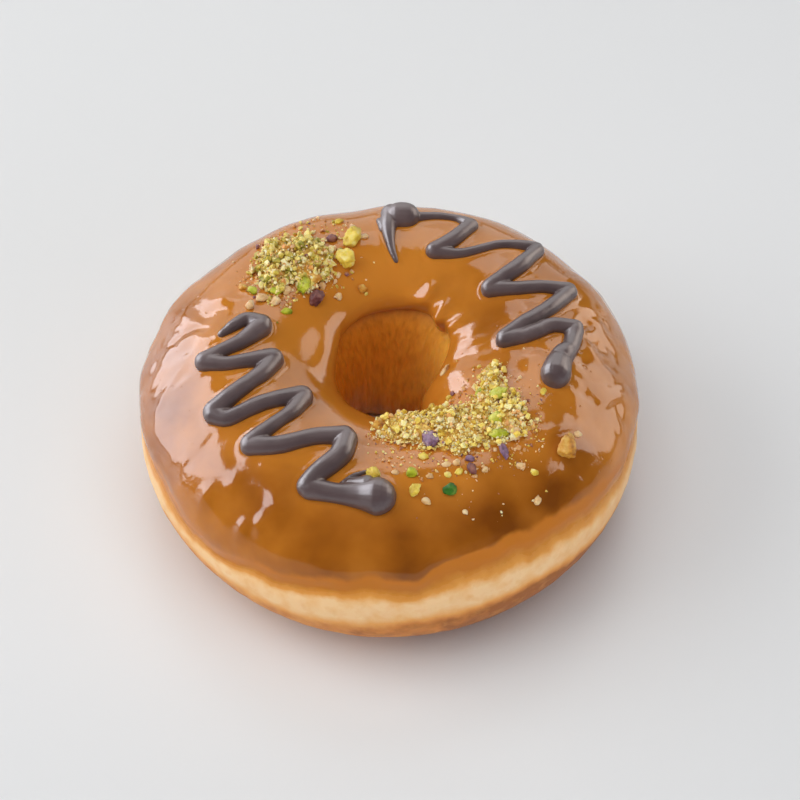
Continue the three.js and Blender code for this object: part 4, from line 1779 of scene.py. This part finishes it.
@dataclass
class NutPieces(SubAssembly):
    """The large pieces of nut, each with cut faces and rounded edges."""

    form: IcingForm
    nuggets: dict[NutTone, Sequence[Sequence[float]]]
    heaps: tuple[NutHeaps, ...]
    seed: int = 23
    cuts: int = 9
    nearest_cut: float = 0.5
    farthest_cut: float = 0.95
    rounding: float = 26.0
    lumps: tuple[Hills, ...] = (Hills(0.2, 0.5, 4), Hills(0.1, 0.5 / 3.0, 6))
    tones: Hills = Hills(0.5, 1.2, 3)
    flatness: float = 0.85
    sink: float = 0.3
    fine_from: float = 2.4

    def cut(self, nugget: Nugget, draw: np.random.Generator) -> tuple[Array, Array]:
        """Cut one piece from a ball by flat cuts, and round its edges.

        Args:
            nugget: Which piece.
            draw: Where random numbers come from.

        Returns:
            The corners in millimetres, as it would lie along X at the middle, and the faces.
        """
        ball = bmesh.new()
        fineness = 4 if nugget.length >= self.fine_from else 3
        bmesh.ops.create_icosphere(ball, subdivisions=fineness, radius=1.0)
        directions = np.array([corner.co[:] for corner in ball.verts])
        faces = np.array([[corner.index for corner in face.verts] for face in ball.faces])
        ball.free()
        cuts = draw.normal(size=(self.cuts, 3))
        cuts /= np.linalg.norm(cuts, axis=1)[:, None]
        depths = draw.uniform(self.nearest_cut, self.farthest_cut, self.cuts)
        hits = np.maximum(directions @ cuts.T, 0.0) / depths
        reach = (np.sum(hits**self.rounding, axis=1) + 1.0) ** (-1.0 / self.rounding)
        reach /= reach.mean()
        rough = np.ones(len(directions))
        for hills in self.lumps:
            rough += hills.over(directions + 9.0 * hills.size * nugget.x)
        sizes = np.array([nugget.length, nugget.width, nugget.width * self.flatness]) / 2.0
        return directions * (reach * rough)[:, None] * sizes, faces

    def lay(self, nugget: Nugget, corners: Array) -> Array:
        """Lay a piece on the icing or on its heap, sunk a little.

        Args:
            nugget: Which piece.
            corners: Its corners as it was cut, in millimetres.

        Returns:
            Its corners where it lies.
        """
        x, y = np.array([nugget.x]), np.array([nugget.y])
        bed = max(heap.bed_rise(x, y)[0] for heap in self.heaps)
        place, normal = self.form.over(x, y, bed)
        upright = Vector((0.0, 0.0, 1.0)).rotation_difference(Vector(normal[0])).to_matrix()
        cos, sin = math.cos(math.radians(nugget.heading)), math.sin(math.radians(nugget.heading))
        turned = corners @ np.array([[cos, sin, 0.0], [-sin, cos, 0.0], [0.0, 0.0, 1.0]])
        lift = nugget.width * self.flatness / 2.0 - self.sink
        return turned @ np.array(upright).T + place[0] + normal[0] * lift

    def build(self) -> list[bpy.types.Object]:
        """Build one piece for each tone.

        Returns:
            The pieces.
        """
        draw = np.random.default_rng(self.seed)
        pieces = []
        for tone, rows in self.nuggets.items():
            places, faces, count = [], [], 0
            for nugget in (Nugget(*row) for row in rows):
                corners, triangles = self.cut(nugget, draw)
                places.append(self.lay(nugget, corners))
                faces.append(triangles + count)
                count += len(corners)
            corners = np.vstack(places)
            label = tone.name.lower()
            material = ChoppedNut(f"pistachio_{label}", tone.value).make()
            numbers = {"tone": 0.5 + self.tones.over(corners)}
            pieces.append(make_mesh(f"nut_{label}", corners, np.vstack(faces).tolist(), material, numbers))
        return pieces


class Lights(Enum):
    """What a softbox does: it lights forms or shows in gloss."""

    FORM = "form"
    GLOSS = "gloss"


@dataclass(frozen=True)
class Softbox:
    """A flat square light that faces the doughnut, placed by its direction from it."""

    name: str
    azimuth: float
    elevation: float
    distance: float
    width: float
    height: float
    radiance: float
    lights: Lights
    tint: str = "#ffffff"

    def build(self) -> None:
        """Hang the light."""
        lamp = bpy.data.lights.new(self.name, "AREA")
        lamp.shape = "RECTANGLE"
        lamp.size, lamp.size_y = self.width, self.height
        lamp.energy = self.radiance * math.pi * self.width * self.height
        lamp.color = linear(self.tint)[:3]
        light = bpy.data.objects.new(self.name, lamp)
        azimuth, elevation = math.radians(self.azimuth), math.radians(self.elevation)
        place = Vector((
            math.cos(azimuth) * math.cos(elevation),
            math.sin(azimuth) * math.cos(elevation),
            math.sin(elevation),
        )) * self.distance
        light.location = place
        light.rotation_euler = place.to_track_quat("Z", "Y").to_euler()
        light.visible_glossy = self.lights is not Lights.FORM
        light.visible_diffuse = self.lights is not Lights.GLOSS
        bpy.context.scene.collection.objects.link(light)


@dataclass(frozen=True)
class Studio:
    """The pale table, the soft light and the camera."""

    softboxes: tuple[Softbox, ...]
    ambient: str = "#f2f2f4"
    ambient_strength: float = 0.2
    table_size: float = 6.0  # Metres, so that no edge of it shows.
    aim: tuple[float, float, float] = (2.03, 3.16, 17.5)
    distance: float = 550.0
    elevation: float = 50.0
    focal_length: float = 2949.0
    frame_width: float = 800.0
    sensor: float = 36.0

    def build(self) -> None:
        """Set up the table, the lights and the camera."""
        self.set_table()
        self.set_light()
        self.set_camera()

    def set_table(self) -> None:
        """Lay the table under the doughnut."""
        half = self.table_size / 2.0 / MM
        corners = np.array([[-half, -half, 0.0], [half, -half, 0.0], [half, half, 0.0], [-half, half, 0.0]])
        table = make_mesh("table", corners, [(0, 1, 2, 3)], TableTop().make())

    def set_light(self) -> None:
        """Hang the softboxes and set the room's own light."""
        world = bpy.data.worlds.new("room")
        bpy.context.scene.world = world
        world.use_nodes = True
        world.cycles_visibility.glossy = False
        graph = NodeGraph(world.node_tree)
        graph.tree.nodes.clear()
        glow = graph.add_node(
            "ShaderNodeBackground", {"Color": linear(self.ambient), "Strength": self.ambient_strength}
        )
        graph.add_node("ShaderNodeOutputWorld", {"Surface": glow})
        for softbox in self.softboxes:
            softbox.build()
        bpy.context.scene.view_settings.view_transform = "Standard"

    def set_camera(self) -> None:
        """Aim the camera as the photograph's was."""
        camera = bpy.data.cameras.new("camera")
        camera.sensor_width = self.sensor
        camera.lens = self.focal_length / self.frame_width * self.sensor
        viewer = bpy.data.objects.new("camera", camera)
        tilt = math.radians(self.elevation)
        backwards = Vector((0.0, -math.cos(tilt), math.sin(tilt)))
        viewer.location = (Vector(self.aim) + backwards * self.distance) * MM
        viewer.rotation_euler = backwards.to_track_quat("Z", "Y").to_euler()
        bpy.context.scene.collection.objects.link(viewer)
        bpy.context.scene.camera = viewer


LEFT_STROKES: tuple[Stroke, ...] = (
    ((-30.4, 3.9, 1.5), (-28.3, 5.7, 2.4), (-26.0, 7.3, 2.8), (-23.4, 6.3, 4.0)),
    ((-23.4, 5.6, 4.0), (-27.0, 1.9, 3.1), (-30.7, -0.4, 3.0), (-33.1, -2.2, 3.8)),
    ((-33.1, -2.4, 3.6), (-29.4, -3.2, 2.9), (-25.7, -2.6, 3.0), (-21.2, -1.6, 4.2)),
    ((-21.1, -1.9, 4.0), (-22.8, -5.4, 3.4), (-25.6, -8.4, 3.2), (-31.1, -13.4, 4.0)),
    ((-31.1, -14.0, 3.9), (-28.6, -15.2, 3.3), (-22.0, -12.4, 3.2), (-15.7, -9.9, 4.0)),
    ((-15.5, -10.5, 3.8), (-17.3, -14.4, 3.0), (-20.2, -17.4, 2.8), (-24.3, -21.2, 3.7)),
    ((-24.3, -21.7, 3.7), (-19.4, -22.2, 3.4), (-12.4, -20.4, 3.4), (-7.9, -20.3, 4.1)),
    ((-7.5, -21.0, 4.1), (-8.5, -24.6, 4.1), (-12.5, -28.4, 3.9), (-13.9, -30.4, 4.1)),
    ((-13.6, -30.9, 4.1), (-9.1, -32.0, 3.6), (-5.6, -32.5, 4.6), (-2.0, -33.0, 6.8)),
    ((-6.6, -30.6, 2.6), (-4.0, -31.2, 4.6)),
    ((-8.6, -30.5, 0.8), (-6.3, -28.9, 1.1), (-3.9, -27.9, 0.8)),
)
RIGHT_STROKES: tuple[Stroke, ...] = (
    ((1.3, 23.2, 0.9), (0.5, 25.4, 1.5), (0.0, 28.2, 2.2), (-0.1, 31.3, 3.2), (0.4, 34.0, 4.2)),
    ((2.0, 33.4, 5.4), (3.0, 33.4, 5.4)),
    ((-1.9, 32.8, 1.2), (-1.2, 30.2, 1.4)),
    ((3.4, 33.2, 2.4), (8.9, 34.1, 1.7), (12.7, 33.8, 1.7), (15.3, 32.0, 2.6)),
    ((15.3, 31.6, 2.9), (11.8, 27.4, 3.1), (8.5, 25.0, 3.3)),
    ((8.5, 24.7, 3.0), (13.5, 24.2, 2.0), (21.0, 26.5, 1.9), (27.4, 26.6, 2.6)),
    ((27.5, 25.6, 2.8), (24.0, 20.3, 3.2), (18.8, 15.8, 3.4)),
    ((18.8, 15.4, 3.2), (24.2, 15.1, 2.7), (28.3, 15.7, 2.6), (33.0, 15.8, 3.0)),
    ((33.2, 15.2, 3.0), (28.7, 9.4, 3.2), (21.5, 3.6, 3.4)),
    ((21.5, 3.0, 3.4), (26.2, 3.7, 3.0), (29.7, 5.6, 3.0), (33.5, 5.6, 3.2)),
    ((33.7, 4.8, 3.4), (32.8, 0.9, 3.4), (30.9, -2.4, 4.6), (29.9, -6.0, 5.6)),
)
MEAL = ((0.0, "#dcae4c"), (0.3, "#fadc7c"), (0.65, "#ffee9c"), (1.0, "#fffad0"))
# The bed is darker and more orange than the meal: painted shade in the gaps between crumbs, and the icing's
# orange seen through them.
BED_WITH_GAP_SHADE = ((0.0, "#b8862e"), (0.5, "#e0b04c"), (1.0, "#fad878"))
FRONT_CRUMBS = ((0.0, "#c49c30"), (0.2, "#f6d254"), (0.5, "#ffe680"), (0.8, "#fff2b8"), (1.0, "#f6b870"))
BACK_CRUMBS = ((0.0, "#98902e"), (0.3, "#d2b84a"), (0.6, "#f6de7c"), (0.85, "#fff0b4"), (1.0, "#e09c50"))
FRINGE_CRUMBS = ((0.0, "#84565c"), (0.2, "#c07c44"), (0.5, "#dea66a"), (1.0, "#f4d0a0"))
SKINS = ((0.0, "#4f333d"), (0.5, "#6f4f5c"), (1.0, "#93727f"))
FRONT_HEAP = Patch(
    (
        (-3.1, -17.5), (-1.6, -14.6), (1.0, -13.4), (4.5, -12.2), (8.5, -11.8), (12.5, -12.0),
        (15.0, -12.0), (16.0, -8.4), (17.4, -3.4), (19.6, -2.4), (20.9, -6.0), (21.6, -9.9),
        (23.6, -12.4), (25.1, -15.6), (26.0, -17.9), (23.3, -19.8), (19.7, -21.6), (16.2, -22.9),
        (12.6, -24.5), (10.1, -23.6), (7.7, -22.4), (3.8, -22.4), (0.6, -20.7), (-2.2, -19.7),
    ),
    rise=1.7,
)
FRONT_FRINGE = Patch(
    (
        (-3.7, -19.1), (-3.3, -25.0), (0.0, -27.0), (3.7, -28.4), (9.0, -29.2), (14.2, -28.9),
        (18.1, -27.4), (23.0, -26.4), (25.3, -24.4), (27.5, -19.9), (27.5, -12.6), (23.6, -6.1),
        (21.0, -2.4), (16.6, -1.3), (12.6, -6.6), (4.0, -12.0), (-2.2, -14.4),
    ),
    weight=0.3,
)
FRONT_SCATTER = Patch(
    (
        (-8.0, -24.0), (-4.0, -32.0), (6.0, -36.5), (18.0, -35.5), (28.0, -30.0), (33.0, -20.0),
        (32.0, -8.0), (26.0, 0.0), (14.0, 2.0), (15.0, -10.0), (2.0, -14.0),
    ),
    weight=0.012,
)
BACK_HEAP = Patch(
    (
        (-25.6, 20.0), (-24.0, 24.4), (-21.2, 27.8), (-16.7, 28.4), (-12.9, 27.1), (-10.6, 24.1),
        (-10.5, 21.2), (-11.7, 18.3), (-13.2, 16.5), (-15.3, 15.2), (-18.3, 16.4), (-19.7, 14.2),
        (-22.3, 14.4), (-24.2, 16.9),
    ),
    rise=1.4,
)
BACK_FRINGE = Patch(
    (
        (-26.9, 19.0), (-25.8, 24.7), (-19.9, 31.6), (-13.1, 34.0), (-7.8, 33.8), (-6.3, 29.7),
        (-7.0, 24.7), (-7.6, 20.1), (-8.8, 17.1), (-11.9, 15.7), (-16.5, 13.6), (-19.4, 11.3),
        (-23.3, 11.8), (-26.4, 13.6), (-27.6, 16.2),
    ),
    weight=0.34,
)
BACK_SCATTER = Patch(
    (
        (-30.0, 14.0), (-29.0, 24.0), (-20.0, 33.0), (-4.0, 35.0), (-2.5, 22.0), (-4.0, 15.0),
        (-10.0, 12.0), (-20.0, 7.0),
    ),
    weight=0.02,
)
NUGGETS: dict[NutTone, tuple[tuple[float, ...], ...]] = {
    NutTone.TAN: (
        (22.2, -19.6, 2.7, 1.9, 110), (12.8, -0.4, 2.4, 1.0, 30), (1.2, -28.2, 1.2, 1.0, 0),
        (6.6, -33.5, 1.5, 1.1, 150), (33.8, -16.9, 1.4, 1.1, 20), (26.1, -30.3, 1.6, 1.2, 80),
        (13.5, -34.7, 1.0, 0.9, 0), (7.2, -28.9, 1.3, 1.0, 0), (10.2, -26.4, 1.5, 1.2, 20),
        (11.9, -26.1, 1.4, 1.2, 0), (23.2, -25.6, 1.4, 1.0, 0), (16.9, -27.2, 1.2, 1.0, 0),
        (-19.0, 15.3, 1.9, 1.5, 90), (-12.5, 17.2, 1.5, 1.2, 90), (-23.6, 12.7, 2.2, 1.6, 20),
        (-25.6, 10.9, 2.0, 1.6, 90), (-20.9, 12.3, 1.9, 1.6, 30), (-9.3, 16.2, 1.3, 1.2, 0),
        (-9.5, 19.9, 1.2, 1.0, 0), (-20.7, 20.6, 3.2, 0.5, 20), (-18.0, 24.4, 3.0, 0.5, 50),
        (-4.7, 28.2, 1.4, 1.1, 0),
    ),
    NutTone.AMBER: (
        (31.1, -20.8, 4.8, 3.0, 100), (-1.4, -17.2, 2.6, 2.2, 40), (-14.1, 18.0, 2.4, 1.8, 0),
        (-5.2, 18.3, 1.6, 1.3, 20), (-27.0, 15.6, 1.8, 1.2, 0),
    ),
    NutTone.YELLOW: (
        (1.4, -18.8, 2.0, 1.5, 80), (6.1, -24.6, 1.5, 1.3, 0), (11.2, -8.2, 1.2, 1.0, 0),
        (-2.6, -28.6, 3.1, 2.3, 105), (4.5, -31.7, 2.2, 2.0, 30), (25.4, -26.3, 1.5, 1.2, 0),
        (27.6, -9.8, 1.6, 1.1, 60), (10.4, -28.5, 1.2, 1.1, 0), (12.3, -28.0, 1.5, 1.2, 40),
        (-8.3, 23.0, 3.4, 3.0, 100), (-7.1, 27.6, 3.7, 3.0, 80), (-9.6, 32.6, 1.8, 1.2, 20),
    ),
    NutTone.LIME: (
        (16.9, -10.1, 2.0, 1.5, 30), (20.0, -11.6, 2.9, 2.0, 10), (23.2, -13.8, 1.4, 1.2, 0),
        (19.2, -17.2, 2.6, 1.7, 15), (19.4, -20.2, 2.8, 1.9, 0), (4.1, -28.3, 2.2, 1.7, 20),
        (-15.8, 16.4, 2.8, 2.1, 80), (-20.8, 14.5, 2.0, 1.7, 10), (-18.9, 10.5, 2.0, 1.1, 0),
        (-25.3, 14.6, 1.8, 1.4, 150),
    ),
    NutTone.DARK_GREEN: (
        (10.7, -31.3, 2.3, 1.9, 0),
    ),
    NutTone.PURPLE: (
        (7.5, -21.2, 3.9, 2.5, 95), (20.3, -23.3, 2.9, 1.3, 105), (14.4, -25.2, 2.0, 1.2, 20),
    ),
    NutTone.BROWN: (
        (14.7, -27.4, 2.2, 1.5, 120), (-13.5, 14.5, 2.8, 2.3, 60), (-10.7, 27.6, 1.9, 1.6, 0),
    ),
}
SOFTBOXES = (
    Softbox("left window", 156, 24, 1.0, 1.04, 0.78, 7.4, Lights.GLOSS, "#eef0f8"),
    Softbox("left key", 180, 27, 1.0, 1.04, 0.78, 2.5, Lights.FORM),
    Softbox("high left", 180, 56, 1.1, 0.8, 0.8, 0.8, Lights.FORM),
    Softbox("right wall", 30, 21, 1.0, 0.86, 0.62, 3.5, Lights.GLOSS, "#fff1e6"),
    Softbox("back wall", 95, 22, 1.3, 1.6, 0.9, 1.5, Lights.GLOSS),
    Softbox("overhead", -70, 82, 1.2, 1.2, 1.2, 1.35, Lights.FORM),
    Softbox("high wall", 84, 50, 1.2, 0.8, 0.44, 2.4, Lights.GLOSS),
    Softbox("front fill", -80, 8, 1.2, 1.6, 0.36, 1.9, Lights.FORM, "#eef3ff"),
    Softbox("right fill", -34, 14, 1.2, 1.2, 0.5, 2.2, Lights.FORM, "#eef3ff"),
)


def nut_heaps(form: IcingForm) -> tuple[NutHeaps, ...]:
    """Give both heaps of nut with what is strewn round them.

    Args:
        form: The icing that they lie on.

    Returns:
        The heaps and their fringes.
    """
    front = (
        CrumbKind("front_meal", MEAL, 0.4, 1.05, 7.0, 11, 10, stack=0.9),
        CrumbKind("front_crumbs", FRONT_CRUMBS, 0.9, 2.1, 1.7, 12, 14, stack=1.2),
        CrumbKind("front_skins", SKINS, 0.5, 1.2, 0.07, 13, 12, 0.4, stack=0.9),
    )
    front_fringe = (
        CrumbKind("front_dust", FRINGE_CRUMBS, 0.25, 0.6, 9.0, 14, 8, stack=0.1),
        CrumbKind("front_bits", FRINGE_CRUMBS, 0.6, 1.4, 2.2, 15, 12, stack=0.3),
        CrumbKind("front_grains", FRONT_CRUMBS, 0.4, 1.0, 3.0, 16, 12, stack=0.2),
    )
    back = (
        CrumbKind("back_meal", MEAL, 0.45, 1.1, 4.0, 21, 10, stack=0.8),
        CrumbKind("back_crumbs", BACK_CRUMBS, 1.0, 2.3, 2.6, 22, 14, 0.7, stack=1.0),
        CrumbKind("back_skins", FRINGE_CRUMBS, 0.6, 1.4, 0.4, 23, 12, 0.5, stack=1.0),
    )
    back_fringe = (
        CrumbKind("back_dust", FRINGE_CRUMBS, 0.3, 0.7, 5.0, 24, 8, stack=0.1),
        CrumbKind("back_bits", FRINGE_CRUMBS, 0.7, 1.6, 2.0, 25, 12, stack=0.3),
        CrumbKind("back_grains", BACK_CRUMBS, 0.6, 1.5, 1.6, 26, 12, stack=0.3),
    )
    return (
        NutHeaps("front", form, (FRONT_HEAP,), front, BED_WITH_GAP_SHADE),
        NutHeaps("front_fringe", form, (FRONT_FRINGE, FRONT_SCATTER), front_fringe, BED_WITH_GAP_SHADE),
        NutHeaps("back", form, (BACK_HEAP,), back, BED_WITH_GAP_SHADE),
        NutHeaps("back_fringe", form, (BACK_FRINGE, BACK_SCATTER), back_fringe, BED_WITH_GAP_SHADE),
    )


def main() -> None:
    """Build the doughnut, then its table, light and camera."""
    logging.basicConfig(level=logging.INFO, format="%(message)s")
    icing_form = IcingForm(RingForm(), strokes=LEFT_STROKES + RIGHT_STROKES)
    heaps = nut_heaps(icing_form)
    parts: tuple[SubAssembly, ...] = (
        DoughRing(icing_form),
        IcingSkin(icing_form),
        PipedZigzag("left_zigzag", LEFT_STROKES, icing_form),
        PipedZigzag("right_zigzag", RIGHT_STROKES, icing_form),
        *heaps,
        NutPieces(icing_form, NUGGETS, heaps),
    )
    for part in parts:
        part.dress(part.build())
    Studio(SOFTBOXES).build()


if __name__ == "__main__":
    main()
